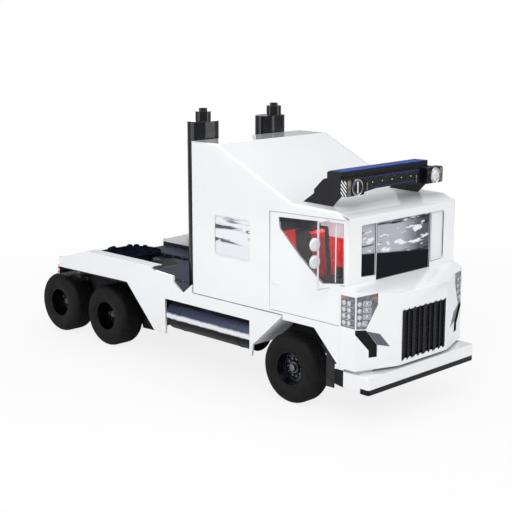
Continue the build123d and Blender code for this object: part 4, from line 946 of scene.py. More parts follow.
@dataclass
class Shell:
    """A CAD node shown as a copy with softened edges and one or more finishes."""

    node: str
    body: str
    slot: str
    finishes: tuple[str, ...]
    radius: float = 0.004
    pick: Picker | None = None
    shortest: float = 0.06
    smooth: float = 50.0
    cut_height: float | None = None

    def build(self) -> None:
        """Builds the copy that stands for the node."""
        work = node_copy(self.node)
        if self.cut_height is not None:
            bmesh.ops.bisect_plane(work, geom=work.verts[:] + work.edges[:] + work.faces[:],
                                   plane_co=(0, 0, self.cut_height), plane_no=(0, 0, 1))
        if self.pick is not None:
            for face in work.faces:
                face.material_index = self.pick(face)
        if self.radius > 0:
            soften(work, self.radius, self.shortest)
        keep_flats_flat(finish_piece(f"{self.node}_skin", work, self.finishes, self.body,
                                     self.smooth, (self.node,)))


def dress_node(node: str, finish: str) -> None:
    """Gives a CAD node that is shown as it is its finish.

    Args:
        node: the node's name.
        finish: the finish's name.
    """
    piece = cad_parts[node]
    if not piece.data.materials:
        piece.data.materials.append(STOCK[finish])
    for slot in piece.material_slots:
        slot.material = STOCK[finish]


# ---- Cab ----
@dataclass
class CabShell:
    """Body panels of the cab with their softened edges, window rubbers and door furniture."""

    seal: float = 0.014
    proud: float = 0.004
    sunk: float = 0.012
    lining_low: float = 1.56
    screen_y: float = AXLE_Y - 1.18
    screen_low: float = 1.998
    screen_high: float = 2.82
    screen_half: float = 0.62
    quarter_inner: float = 0.644
    quarter_outer: float = 0.95
    quarter_low: float = 2.075
    sleeper: tuple[float, float, float, float] = (0.731, 1.53, 2.05, 2.7)
    door_window: Outline = (
        (-1.106, 2.027), (-1.089, 2.873), (-0.716, 2.854), (0.151, 2.819), (0.129, 2.659),
        (-0.282, 2.289), (-0.711, 1.969))
    facet: Outline = ((1.075, 1.368), (0.875, 1.308), (0.715, 1.105), (0.912, 1.152))
    divider: tuple[Point, Point] = ((1.229, row_y(-0.958), 2.02), (1.236, row_y(-0.94), 2.85))
    gutter: tuple[Point, Point] = ((1.2465, row_y(-1.12), 2.926), (1.2498, row_y(0.36), 2.934))
    handle_y: float = row_y(0.12)
    wall_inside: Span = (1.1, 1.2065)
    back_inside: Span = (row_y(1.9), row_y(2.01))
    roof_inside: float = 2.8
    duct_across: Span = (0.91, 1.2485)
    duct_height: Span = (0.975, 1.415)
    duct_depth: Span = (0.002, 0.05)
    sleeper_corner: float = 0.07

    def build(self) -> None:
        """Builds panels, rubbers and furniture."""
        Shell("cab_front", "cab", "body_white", ("body_white", "gloss_black"), pick=self.duct).build()
        for node in ("cab_roof", "cab_back", "cab_side_left", "cab_side_right"):
            self.build_lined_panel(node, "cab")
        for side in Side:
            self.build_lined_panel(f"door_{side.label}", f"door_{side.label}")
            dress_node(f"door_glass_{side.label}", "side_glass")
            self.build_door_trim(side)
        Shell("cab_glass", "cab", "glass", ("screen_glass", "sleeper_glass"), radius=0.0,
              pick=self.sleeper_pane).build()
        Shell("cab_floor", "cab", "floor_dark", ("floor_dark", "guard_pale"), radius=0.003,
              pick=self.underside).build()
        self.build_corner_facets()
        self.build_cab_rubbers()
        self.build_rain_gutters()

    def build_lined_panel(self, node: str, body: str) -> None:
        """A panel that is white outside, with the red and black lining on its inner face."""
        Shell(node, body, "body_white", ("body_white", "wall_red", "dash_black"), pick=self.lining,
              cut_height=self.lining_low).build()

    def lining(self, face: Face) -> int:
        """The finish of one face of a lined panel.

        Args:
            face: the face.

        Returns:
            1 over the lining's lower edge, 2 under it, 0 outside the cab.
        """
        centre, out = face.calc_center_median(), face.normal
        inward = out.x * centre.x < 0 and abs(out.x) > 0.7 and within(abs(centre.x), self.wall_inside)
        inward |= out.y < -0.7 and within(centre.y, self.back_inside)
        inward |= (out.z < -0.3 and centre.z > self.roof_inside and abs(centre.x) < 1.2
                   and centre.y > row_y(-1.1))
        if not inward:
            return 0
        return 1 if centre.z > self.lining_low else 2

    def sleeper_pane(self, face: Face) -> int:
        """The sleeper windows' own finish, told from the windscreen's panes."""
        return 1 if abs(face.calc_center_median().x) > 1.15 else 0

    def underside(self, face: Face) -> int:
        """Pale for the floor's underside and edges."""
        return 0 if face.normal.z > 0.5 else 1

    def duct(self, face: Face) -> int:
        """Tells the floors and walls of the corner ducts from the nose.

        Args:
            face: a face of the cab's front.

        Returns:
            1 in a duct, 0 elsewhere.
        """
        centre = face.calc_center_median()
        across = abs(centre.x)
        return int(within(across, self.duct_across) and within(centre.z, self.duct_height)
                   and within(centre.y - slant_y(across), self.duct_depth))

    def build_corner_facets(self) -> None:
        """A grey plate beside each corner duct, painted shade for the duct's bevelled side."""
        work = bmesh.new()
        add_plate(work, [(x, slant_y(x), z) for x, z in self.facet], tuple(SLANT_OUT * 0.0008))
        finish_pair("corner_facets", work, "facet_grey", "cab")

    def build_cab_rubbers(self) -> None:
        """Rubber frames round the windscreen panes and the sleeper windows."""
        panes, sleepers = bmesh.new(), bmesh.new()
        y, push = self.screen_y - self.proud, (0, self.proud + self.sunk, 0)
        low, high, half = self.screen_low, self.screen_high, self.screen_half
        add_gasket(panes, [(-half, y, low), (half, y, low), (half, y, high), (-half, y, high)],
                   self.seal, push)
        front, rear, bottom, top = self.sleeper
        for sign in (-1, 1):
            inner, outer = sign * self.quarter_inner, sign * self.quarter_outer
            add_gasket(panes, [(inner, y, self.quarter_low), (outer, y, self.quarter_low + 0.015),
                               (outer, y, high), (inner, y, high)], self.seal, push)
            corners = ((front, bottom), (rear, bottom), (rear, top), (front, top))
            add_gasket(sleepers, at_side(sign * (BODY_HALF - self.sunk), corners), self.seal,
                       (sign * self.sunk, 0, 0), self.sleeper_corner)
        finish_piece("window_rubbers", panes, ("seal_rubber",), "cab")
        finish_piece("sleeper_window_frames", sleepers, ("guard_pale",), "cab")

    def build_door_trim(self, side: Side) -> None:
        """The door's window rubber, window divider, handle and lock.

        Args:
            side: the door's side.
        """
        sign, body, y = side.value, f"door_{side.label}", self.handle_y
        rubber, divider, handle = bmesh.new(), bmesh.new(), bmesh.new()
        add_gasket(rubber, at_side(sign * (DOOR_SKIN - self.sunk), self.door_window), self.seal,
                   (sign * (self.sunk + 0.003), 0, 0))
        add_side_block(divider, side, *self.divider, 0.002)
        add_side_block(handle, side, (1.2395, y, 1.78), (1.243, y + 0.17, 1.86), 0.0012)
        add_side_block(handle, side, (1.242, y + 0.012, 1.805), (1.2495, y + 0.13, 1.838), 0.003, 3)
        add_rod(handle, (sign * 1.242, y + 0.15, 1.822), (sign * 1.2485, y + 0.15, 1.822), 0.009, 20)
        for name, work, finish, slot in (("door_rubber", rubber, "seal_rubber", "black_trim"),
                                         ("window_divider", divider, "guard_pale", "body_white"),
                                         ("door_handle", handle, "body_white", "body_white")):
            finish_piece(f"{name}_{side.label}", work, (finish,), body)

    def build_rain_gutters(self) -> None:
        """A rain gutter over each door."""
        work = bmesh.new()
        add_block(work, *self.gutter, 0.001)
        finish_pair("rain_gutters", work, "body_white", "cab")


# ---- Nose ----
@dataclass
class LensPlace:
    """Where one lamp sits on the nose, in its own plane."""

    origin: Vector
    across: Vector
    out: Vector
    half_width: float
    half_height: float
    round_lamp: bool

    def part(self, point: Vector) -> int | None:
        """Which part of this lamp a point of the +X unit belongs to.

        Args:
            point: a face's centre.

        Returns:
            1 for its bright rim, 2 for its bowl, 3 for its bulb or lens, None where it is outside.
        """
        offset = point - self.origin
        u, v, h = offset.dot(self.across), offset.z, offset.dot(self.out)
        reach = math.hypot(u, v)
        if not 0.0004 < h < 0.0096 or max(abs(u) - self.half_width, abs(v) - self.half_height) > 0.001:
            return None
        if self.round_lamp:
            if reach > self.half_width + 0.001:
                return None
            return 3 if reach < self.half_width - 0.007 else 1
        if h > 0.0035 and reach < 0.022:
            return 3
        inside = abs(u) < self.half_width - 0.009 and abs(v) < self.half_height - 0.009
        return 2 if inside and h < 0.003 else (3 if reach < 0.022 else 1)


@dataclass
class Headlamps:
    """The corner lamp units: dark trays, bright bowls and clear lenses in four rows."""

    first_row: float = 1.483
    pitch: float = 0.094
    rows: int = 4
    recess: float = 0.01
    round_half: float = 0.034
    side_lenses: tuple[float, ...] = (-1.125, -1.215)
    slant_lens: float = 1.19
    bowl_x: float = 1.075
    bowl_cut: float = 0.044
    bowl_half: float = 0.07
    bowl_high: float = 0.037
    post: Point = (1.2385, row_y(CORNER) + 0.004, 1.405)
    post_top: float = 1.885
    places: list[LensPlace] = field(default_factory=list)

    def build(self) -> None:
        """Dresses the units."""
        across = Vector((SLANT_OUT.y, -SLANT_OUT.x, 0))
        for row in range(self.rows):
            z = self.first_row + row * self.pitch
            for station in self.side_lenses:
                spot = Vector((BODY_HALF - self.recess, row_y(station), z))
                self.places.append(LensPlace(spot, Vector((0, -1, 0)), Vector((1, 0, 0)), self.round_half,
                                             self.round_half, True))
            cut = self.bowl_cut if row == 0 else 0.0
            bowl_x, bowl_half = self.bowl_x + 0.8 * cut, self.bowl_half - cut / 2
            for x, half, high, is_round in ((self.slant_lens, self.round_half, self.round_half, True),
                                            (bowl_x, bowl_half, self.bowl_high, False)):
                spot = Vector((x, slant_y(x), z)) - SLANT_OUT * self.recess
                self.places.append(LensPlace(spot, across, SLANT_OUT, half, high, is_round))
        Shell("headlamps", "cab", "lamp_glass", ("lamp_tray", "bright_metal", "lamp_bowl", "lens_white"),
              radius=0.0, pick=self.pick, smooth=40.0).build()
        self.build_bowls()
        self.build_bezels()

    def pick(self, face: Face) -> int:
        """The finish of one face of the units.

        Args:
            face: the face.

        Returns:
            Its part of a lamp, or 0 for the tray.
        """
        centre = face.calc_center_median()
        point = Vector((abs(centre.x), centre.y, centre.z))
        parts = (place.part(point) for place in self.places)
        return next((part for part in parts if part is not None), 0)

    def build_bowls(self) -> None:
        """Deep bowls in the oblong lamps and domes on the round ones."""
        bowls = bmesh.new()
        for place in self.places:
            turn = Matrix((place.across, (0, 0, 1), place.out)).transposed().to_4x4()
            spot = Matrix.Translation(place.origin + place.out * 0.0022) @ turn
            if place.round_lamp:
                bmesh.ops.create_uvsphere(bowls, u_segments=20, v_segments=8, radius=0.025,
                                          matrix=spot @ Matrix.Diagonal((1, 1, 0.26, 1)))
                continue
            size = Matrix.Diagonal((place.half_width - 0.01, place.half_height - 0.009, 1, 1))
            made = bmesh.ops.create_circle(bowls, cap_ends=True, segments=32, radius=1.0,
                                           matrix=spot @ size)
            bowl = made["verts"][0].link_faces[0]
            for thickness, depth in ((0.006, 0.0012), (0.008, 0.0016), (0.006, 0.0022)):
                bmesh.ops.inset_region(bowls, faces=[bowl], thickness=thickness, depth=depth,
                                       use_even_offset=True, use_boundary=True)
        add_mirrored(bowls)
        bmesh.ops.recalc_face_normals(bowls, faces=bowls.faces[:])
        finish_piece("headlamp_lenses", bowls, ("lens_white",), "cab", 50.0)

    def build_bezels(self) -> None:
        """White corner posts, bright shelves between the rows and amber blocks in the top corners."""
        posts, shelves, amber = bmesh.new(), bmesh.new(), bmesh.new()
        corner = row_y(CORNER)
        add_rod(posts, self.post, (*self.post[:2], self.post_top), 0.011)
        for row in range(self.rows):
            z = self.first_row + (row - 0.5) * self.pitch
            start, end = (tuple(Vector((x, slant_y(x), z)) - SLANT_OUT * 0.007)
                          for x in (1.222, 1.13 if row == 0 else 0.99))
            add_rod(shelves, start, end, 0.0045, 8)
            add_rod(shelves, (1.243, corner + 0.03, z), (1.243, corner + 0.235, z), 0.0045, 8)
        z = self.first_row + (self.rows - 0.42) * self.pitch
        add_block(amber, (1.2405, row_y(-1.155), z), (1.2475, row_y(-1.085), z + 0.036), 0.002)
        spot = Vector((0.965, slant_y(0.965), z + 0.018)) - SLANT_OUT * 0.006
        turn = Matrix.Rotation(math.atan2(SLANT_FALL, SLANT_RUN), 4, "Z")
        made = bmesh.ops.create_cube(amber, size=1.0, matrix=Matrix.Translation(spot) @ turn
                                     @ Matrix.Diagonal((0.075, 0.006, 0.034, 1)))
        round_edges(amber, edges_at(made["verts"]), 0.0015, clamp=False)
        for name, work, finish in (("lamp_corner_posts", posts, "body_white"),
                                   ("lamp_shelves", shelves, "bright_metal"),
                                   ("lamp_amber_blocks", amber, "lens_amber")):
            finish_pair(name, work, finish, "cab", 50.0)


@dataclass
class Grille:
    """Gloss-black slats with grey slanted mesh between them, in a fine black screen."""

    slats: tuple[float, ...] = (0.042, 0.036, 0.071, 0.036, 0.071, 0.036, 0.071, 0.036, 0.042)
    half: float = 0.505
    screen_y: float = AXLE_Y - 1.5645

    def build(self) -> None:
        """Dresses the grille."""
        Shell("grille", "cab", "black_trim", ("gloss_black", "mesh_grey", "screen_black"),
              radius=0.003, pick=self.pick, shortest=0.3).build()

    def pick(self, face: Face) -> int:
        """Tells slat, bar and screen apart by where a face lies.

        Args:
            face: a face of the grille.

        Returns:
            0 for a slat, 1 for a bar, 2 for the screen.
        """
        centre = face.calc_center_median()
        gap = (2 * self.half - sum(self.slats)) / (len(self.slats) - 1)
        x = -self.half
        for width in self.slats:
            if x - 0.0005 <= centre.x <= x + width + 0.0005:
                return 0
            x += width + gap
        return 2 if centre.y > self.screen_y else 1


# ---- Roof visor and its lamps ----
@dataclass
class RoofVisor:
    """The lamp bar over the screen: hood, cheeks, rows of slots, bolts and its lamps."""

    front: float = AXLE_Y - 0.93
    pod_front: float = AXLE_Y - 1.02
    bar_low: float = LEDGE_Z + 0.19
    bar_high: float = LEDGE_Z + 0.43
    lamp_x: float = 0.9
    lamp_z: float = LEDGE_Z + 0.31
    lamp_radius: float = 0.118
    lamp_proud: float = 0.03
    bar_half: float = 1.1
    cheek: Span = (0.965, 1.0005)
    cheek_front: float = AXLE_Y - 0.8
    hood_line: float = LEDGE_Z + 0.46
    slots: int = 22
    slot_pitch: float = 0.062
    louvres: int = 6
    louvre_pitch: float = 0.056
    low_bolts: tuple[float, ...] = (-0.47, -0.29)
    high_bolts: tuple[float, ...] = (-0.14, 0.05, 0.36)
    markers: tuple[float, ...] = (-0.44, -0.22, 0.0, 0.22, 0.44)
    beads: int = 18
    bead_ring: float = 0.09

    def build(self) -> None:
        """Builds the bar's dress and its lamps."""
        Shell("roof_visor", "cab", "visor_black", ("visor_black", "cheek_grey", "hood_blue"),
              pick=self.pick, radius=0.005).build()
        self.build_slots()
        self.build_end_hatches()
        self.build_fasteners()
        self.build_lamps()

    def pick(self, face: Face) -> int:
        """The finish of one face of the bar.

        Args:
            face: the face.

        Returns:
            1 for the cheek plates, 2 for the hood's top, 0 elsewhere.
        """
        centre = face.calc_center_median()
        if within(abs(centre.x), self.cheek) and centre.y > self.cheek_front:
            return 1
        return 2 if face.normal.z > 0.9 and centre.z > self.hood_line else 0

    def build_slots(self) -> None:
        """Two rows of pressed slots, along the bar's upper lip and its lower edge."""
        work = bmesh.new()
        for index in range(self.slots):
            x = -0.7 + (index + 0.5) * self.slot_pitch
            for z in (self.bar_high - 0.03, self.bar_low + 0.058):
                add_block(work, (x - 0.019, self.front - 0.006, z),
                          (x + 0.019, self.front + 0.002, z + 0.012), 0.003)
        finish_piece("visor_slots", work, ("slot_blue",), "cab")

    def build_end_hatches(self) -> None:
        """Slanted louvres on the outer end of each pod."""
        work = bmesh.new()
        x, front, run = self.bar_half - 0.001, self.pod_front + 0.008, 0.104
        drop = self.louvre_pitch * 0.42
        for index in range(self.louvres):
            z = self.bar_low - 0.09 + index * self.louvre_pitch
            low, high = max(z, self.bar_low + 0.022), min(z + run, self.bar_high - 0.012)
            if high - low < 0.02:
                continue
            start, end = front + low - z, front + high - z
            add_plate(work, [(x, start, low), (x, end, high), (x, end, high - drop),
                             (x, start, low - drop)], (0.004, 0, 0))
        finish_pair("pod_louvres", work, "guard_pale", "cab")

    def build_fasteners(self) -> None:
        """Dome-headed bolts along the bar."""
        work = bmesh.new()
        spots = [(x, self.bar_low + 0.098) for x in self.low_bolts]
        for x, z in spots + [(x, self.bar_high - 0.05) for x in self.high_bolts]:
            add_turned(work, ((0, 0.009), (0.004, 0.008), (0.006, 0.005), (0.0065, 0.0)),
                       (x, self.front, z), (0, -1, 0), 12)
        finish_piece("visor_bolts", work, ("nut_metal",), "cab")

    def build_lamps(self) -> None:
        """The round driving lamps, the amber blocks and the clear markers."""
        rims, glass, amber, dark, strips = (bmesh.new() for _ in range(5))
        y, z, r = self.pod_front - self.lamp_proud, self.lamp_z, self.lamp_radius
        rim = ((0, r - 0.016), (-0.004, r - 0.008), (0.0, r - 0.001), (0.02, r), (0.066, r - 0.004),
               (0.068, 0.03), (0.03, 0.03), (0.026, 0.06), (0.012, r - 0.014), (0, r - 0.016))
        pane = ((0.01, r - 0.016), (0.003, 0.08), (0.0005, 0.04), (0.0, 0.0))
        # The near lens gets gloss black and the far one white: on two like lamps this difference is
        # painted light and shade.
        for x, lens in ((self.lamp_x, glass), (-self.lamp_x, dark)):
            add_turned(rims, rim, (x, y + 0.004, z), (0, 1, 0))
            add_turned(lens, pane, (x, y + 0.001, z), (0, 1, 0))
            for index in range(self.beads):
                turn = math.tau * index / self.beads
                bead = x + self.bead_ring * math.cos(turn), z + self.bead_ring * math.sin(turn)
                add_rod(rims, (bead[0], y + 0.002, bead[1]), (bead[0], y + 0.008, bead[1]), 0.007, 8)
        add_block(strips, (self.lamp_x - 0.014, y + 0.0002, z - 0.08),
                  (self.lamp_x + 0.014, y + 0.006, z + 0.08), 0.002)
        outer = self.bar_half - 0.038
        add_block(amber, (outer - 0.035, self.pod_front - 0.014, self.bar_low + 0.01),
                  (outer + 0.035, self.pod_front + 0.002, self.bar_high - 0.01), 0.006)
        add_block(amber, (0.553, self.front - 0.014, LEDGE_Z + 0.225),
                  (0.587, self.front + 0.002, LEDGE_Z + 0.34), 0.005)
        for x in self.markers:
            add_turned(glass, ((0, 0.009), (0.006, 0.008), (0.009, 0.005), (0.0095, 0.0)),
                       (x, self.front, LEDGE_Z + 0.33), (0, -1, 0), 16)
        finish_piece("roof_lamp_rims", rims, ("bright_metal",), "cab", 40.0, ("roof_lamps",))
        finish_piece("roof_lamp_glass", glass, ("lens_white",), "cab", 50.0)
        finish_piece("roof_lamp_smoked_glass", dark, ("gloss_black",), "cab", 50.0)
        finish_pair("roof_lamp_strips", strips, "lens_white", "cab", 50.0)
        finish_pair("roof_amber_lamps", amber, "lens_brown", "cab", 50.0)


# ---- Wheels ----
@dataclass
class Wheel:
    """A road wheel: ribbed tyre with cut shoulders, dark rim, bright hub cap and nut covers."""

    place: str
    side: Side
    station: float
    width: float
    dish: float
    grooves: tuple[float, ...] = (-0.19, -0.065, 0.065, 0.19)
    steps: int = 96
    radius: float = AXLE_HEIGHT
    bead_radius: float = 0.269
    face: float = 1.2
    shoulder: float = 0.115
    groove_depth: float = 0.009
    sipe: Span = (0.004, -0.0015)
    cap_bolts: int = 8
    cap_ring: float = 0.073
    lip_depth: float = 0.06
    disc_half: float = 0.0155
    nut_ring: Span = (0.114, 0.152)

    @property
    def centre(self) -> Vector:
        """The wheel's centre."""
        return Vector((self.side.value * (self.face - self.width / 2), row_y(self.station), AXLE_HEIGHT))

    @property
    def body(self) -> str:
        """The CAD body that the wheel turns with."""
        return f"wheel_{self.place}_{self.side.label}"

    def build(self) -> None:
        """Builds tyre, rim and cap."""
        self.build_tyre()
        Shell(f"{self.place}_rim_{self.side.label}", self.body, "rim_dark",
              ("rim_dark", "nut_metal", "gloss_black"), radius=0.0, pick=self.pick, smooth=32.0).build()
        self.build_cap()

    def pick(self, face: Face) -> int:
        """The finish of one face of the rim.

        Args:
            face: the face.

        Returns:
            1 for the wheel nuts, 2 for the outer lip, 0 elsewhere.
        """
        centre = face.calc_center_median() - self.centre
        out = centre.x * self.side.value
        if out > self.width / 2 - self.lip_depth and abs(face.normal.x) > 0.3:
            return 2
        ring = math.hypot(centre.y, centre.z)
        return 1 if out > self.dish + self.disc_half and within(ring, self.nut_ring) else 0

    def section(self) -> list[Span]:
        """The tyre's outline from the inner bead over the tread to the outer bead.

        Returns:
            Points of distance from the wheel's middle and radius.
        """
        half, crown, curve, bead = self.width / 2, self.radius, self.shoulder, self.bead_radius
        wall = [(half - inward, bead + up) for inward, up in (
            (0.03, 0.0), (0.012, 0.018), (0.006, 0.05), (0.002, 0.056), (0.001, 0.085), (0.0, 0.09))]
        wall += [(half - inward, crown - curve - down) for inward, down in (
            (0.0, 0.03), (0.003, 0.026), (0.002, 0.0))]
        arc = [(half - curve + curve * math.sin(a), crown - curve + curve * math.cos(a))
               for a in map(math.radians, (72, 56, 42, 28, 14, 4))]
        outer = wall + arc
        tread: list[Span] = []
        for place in reversed(self.grooves):
            x, floor = place * self.width, crown - self.groove_depth
            tread += [(x + 0.0035, crown), (x + 0.0025, floor), (x - 0.0025, floor), (x - 0.0035, crown)]
        return outer + tread + [(-x, radius) for x, radius in reversed(outer)]

    def build_tyre(self) -> None:
        """Spins the tyre and presses the shallow sipes of its tread."""
        work = bmesh.new()
        section = self.section()
        add_turned(work, section + section[:1], tuple(self.centre), (self.side.value, 0, 0), self.steps)
        bmesh.ops.recalc_face_normals(work, faces=work.faces[:])
        sipes = []
        for item in work.faces:
            offset = item.calc_center_median() - self.centre
            reach = math.hypot(offset.y, offset.z)
            turn = round(math.atan2(offset.z, offset.y) * self.steps / math.tau)
            if reach > self.radius - 0.003 and abs(offset.x) < self.width / 2 - self.shoulder and turn % 2:
                sipes.append(item)
        bmesh.ops.inset_individual(work, faces=sipes, thickness=self.sipe[0], depth=self.sipe[1],
                                   use_even_offset=True)
        label = f"{self.place}_tyre_{self.side.label}"
        finish_piece(f"{label}_tread", work, ("tyre_rubber",), self.body, 35.0, (label,))

    def build_cap(self) -> None:
        """A domed hub cap ringed by small bolts, and the valve."""
        work = bmesh.new()
        out = Vector((self.side.value, 0, 0))
        start = self.centre + out * (self.dish + 0.045)
        add_turned(work, ((-0.004, 0.08), (0.012, 0.08), (0.014, 0.066), (0.04, 0.062), (0.052, 0.054),
                          (0.058, 0.036), (0.06, 0.0)), tuple(start), tuple(out))
        for index in range(self.cap_bolts):
            turn = Matrix.Rotation(math.tau * index / self.cap_bolts, 4, "X")
            spot = start + turn @ Vector((0, 0, self.cap_ring)) + out * 0.012
            add_rod(work, tuple(spot), tuple(spot + out * 0.006), 0.0055, 6)
        valve = start + Vector((0, 0, 0.205)) - out * 0.03
        add_rod(work, tuple(valve), tuple(valve + out * 0.04), 0.004, 10)
        bmesh.ops.recalc_face_normals(work, faces=work.faces[:])
        finish_piece(f"{self.place}_hub_cap_{self.side.label}", work, ("nut_metal",), self.body)


# ---- Chassis ----
@dataclass
class Chassis:
    """Rails, axles and drive line, with the rails' bolts."""

    rail_outer: float = 0.43
    bolt_heights: Span = (0.81, 0.98)
    bolt_stations: tuple[float, ...] = (
        1.42, 1.58, 2.52, 2.68, 3.62, 3.78, 4.18, 4.66, 5.05, 5.16, 5.55, 6.02, 6.12)
    finishes: tuple[tuple[str, str], ...] = (
        ("frame_rails", "frame_black"), ("crossmembers", "frame_black"),
        ("front_axle_beam", "axle_grey"), ("drive_axles", "axle_grey"), ("springs", "spring_steel"),
        ("drive_shafts", "axle_grey"), ("engine_block", "engine_grey"), ("tie_rod", "axle_grey"),
        ("knuckle_left", "axle_grey"), ("knuckle_right", "axle_grey"),
        ("fifth_wheel_base", "frame_black"))

    def build(self) -> None:
        """Dresses the chassis."""
        for node, finish in self.finishes:
            dress_node(node, finish)
        self.build_bolts()

    def build_bolts(self) -> None:
        """Rows of flanged bolts along the rails' webs."""
        work = bmesh.new()
        for station in self.bolt_stations:
            for z in self.bolt_heights:
                for near, far, radius, sides in ((-0.001, 0.004, 0.017, 16), (0.003, 0.014, 0.012, 6)):
                    add_rod(work, (self.rail_outer + near, row_y(station), z),
                            (self.rail_outer + far, row_y(station), z), radius, sides)
        finish_pair("rail_bolts", work, "axle_grey", "chassis")


@dataclass
class SkirtPanels:
    """Side fairings, bumper and their fittings, the tanks and the inner arches."""

    tank_centre: Span = (0.985, 0.875)
    tank_radius: float = 0.265
    tank_ends: Span = (0.77, 2.71)
    straps: Span = (1.07, 2.41)
    wall_line: float = 1.37
    arch_wall_x: float = 0.695
    arch_wall: Outline = (
        (3.14, 0.66), (3.46, 0.33), (3.98, 0.31), (4.1, 0.67), (5.55, 0.67), (5.55, 1.286),
        (3.72, 1.286))
    flap_wing: Outline = ((-0.958, 1.03), (-0.958, 0.475), (-0.8, 0.47), (-0.8, 1.03))
    latches: Outline = ((2.9, 1.2), (3.35, 1.5), (4.3, 1.5), (5.1, 1.45), (0.45, 1.28))
    filler: Span = (1.62, 38.0)      # its station, and its lean in degrees

    def build(self) -> None:
        """Builds the panels."""
        body = "body_white"
        for shell in (
                Shell("side_fairings", "chassis", body, (body, "liner_dark"), pick=self.inner_face,
                      cut_height=self.wall_line),
                Shell("bumper", "chassis", body, (body, "frame_black"), 0.008, self.bumper_part),
                Shell("bumper_lip", "chassis", "black_trim", ("gloss_black",)),
                Shell("arch_liners", "chassis", "liner_dark", ("liner_dark", "guard_pale"), 0.003,
                      self.front_arch),
                Shell("fuel_tanks", "chassis", "tank_polished", ("tank_polished", "rim_dark"), 0.0,
                      self.strap, smooth=40.0)):
            shell.build()
        self.build_tank_fittings()
        self.build_fairing_fittings()
        self.build_side_sheet("arch_walls", self.arch_wall_x, self.arch_wall, 0.006, 0.0)
        self.build_side_sheet("flap_wings", DOOR_SKIN - 0.004, self.flap_wing, 0.005, 0.006)

    def build_side_sheet(self, name: str, x: float, outline: Outline, thick: float,
                         round_by: float) -> None:
        """A dark upright sheet on each side: an arch's wall with its flap, or a flap's wing.

        Args:
            name: the piece's name.
            x: its outer face's distance from the centre plane.
            outline: its (station, height) corners.
            thick: its thickness, inwards.
            round_by: radius of its corners.
        """
        work = bmesh.new()
        add_plate(work, at_side(x, outline), (-thick, 0, 0), round_by)
        finish_pair(name, work, "liner_dark", "chassis")

    def front_arch(self, face: Face) -> int:
        """1, pale, for the guards by the front wheels, and 0 over the driven wheels."""
        return 1 if face.calc_center_median().y < row_y(1.0) else 0

    def inner_face(self, face: Face) -> int:
        """1, dark, for the lower half of the fairings' inner faces, 0 elsewhere."""
        x, _, z = face.calc_center_median()
        return int(z < self.wall_line and abs(face.normal.x) > 0.8 and face.normal.x * x < 0)

    def bumper_part(self, face: Face) -> int:
        """1, black, for the bumper's stays, 0 elsewhere."""
        x, y, _ = face.calc_center_median()
        return int(abs(x) < 0.44 and y > AXLE_Y - 1.365)

    def strap(self, face: Face) -> int:
        """1, darker, for the two straps under each tank, 0 elsewhere."""
        _, y, z = face.calc_center_median()
        return int(any(abs(y - row_y(s)) < 0.0255 for s in self.straps) and z < self.tank_centre[1] - 0.2)

    def build_tank_fittings(self) -> None:
        """Filler cap, strap bolts and end rims of the tanks."""
        work = bmesh.new()
        x, z = self.tank_centre
        for station, out in zip(self.tank_ends, (-1, 1)):
            add_turned(work, ((0.0, 0.238), (0.003, 0.236), (0.004, 0.205), (0.0015, 0.19), (0.001, 0.02),
                              (0.001, 0.0)), (x, row_y(station) - out * 0.004, z), (0, out, 0))
        station, tilt = self.filler
        lean = Vector((math.sin(math.radians(tilt)), 0, math.cos(math.radians(tilt))))
        root = Vector((x, row_y(station), z)) + lean * (self.tank_radius - 0.012)
        add_turned(work, ((0, 0.048), (0.008, 0.048), (0.009, 0.043), (0.011, 0.043), (0.0115, 0.0)),
                   tuple(root), tuple(lean), 32)
        for y in map(row_y, self.straps):
            add_rod(work, (x + 0.12, y, z - 0.236), (x + 0.12, y, z - 0.2), 0.012, 6)
        finish_pair("tank_fittings", work, "tank_polished", "chassis")

    def build_fairing_fittings(self) -> None:
        """Quarter-turn latches on the fairings."""
        work = bmesh.new()
        for spot in at_side(BODY_HALF - 0.002, self.latches):
            add_turned(work, ((0, 0.016), (0.0015, 0.015), (0.0018, 0.011), (0.0012, 0.0105),
                              (0.0012, 0.0)), spot, (1, 0, 0), 20)
        finish_pair("fairing_latches", work, "bright_metal", "chassis")


def add_sheets(work: Work, edges: Sequence[tuple[float, float, float, float]], thick: float) -> None:
    """Adds sheets that each run from one level edge to the next.

    Args:
        work: the mesh.
        edges: the left, right, station and height of each edge, from the front.
        thick: the sheets' thickness, upwards.
    """
    for near, far in zip(edges, edges[1:]):
        corners = ((near[0], near), (near[1], near), (far[1], far), (far[0], far))
        add_plate(work, [(x, row_y(edge[2]), edge[3]) for x, edge in corners], (0, 0, thick))


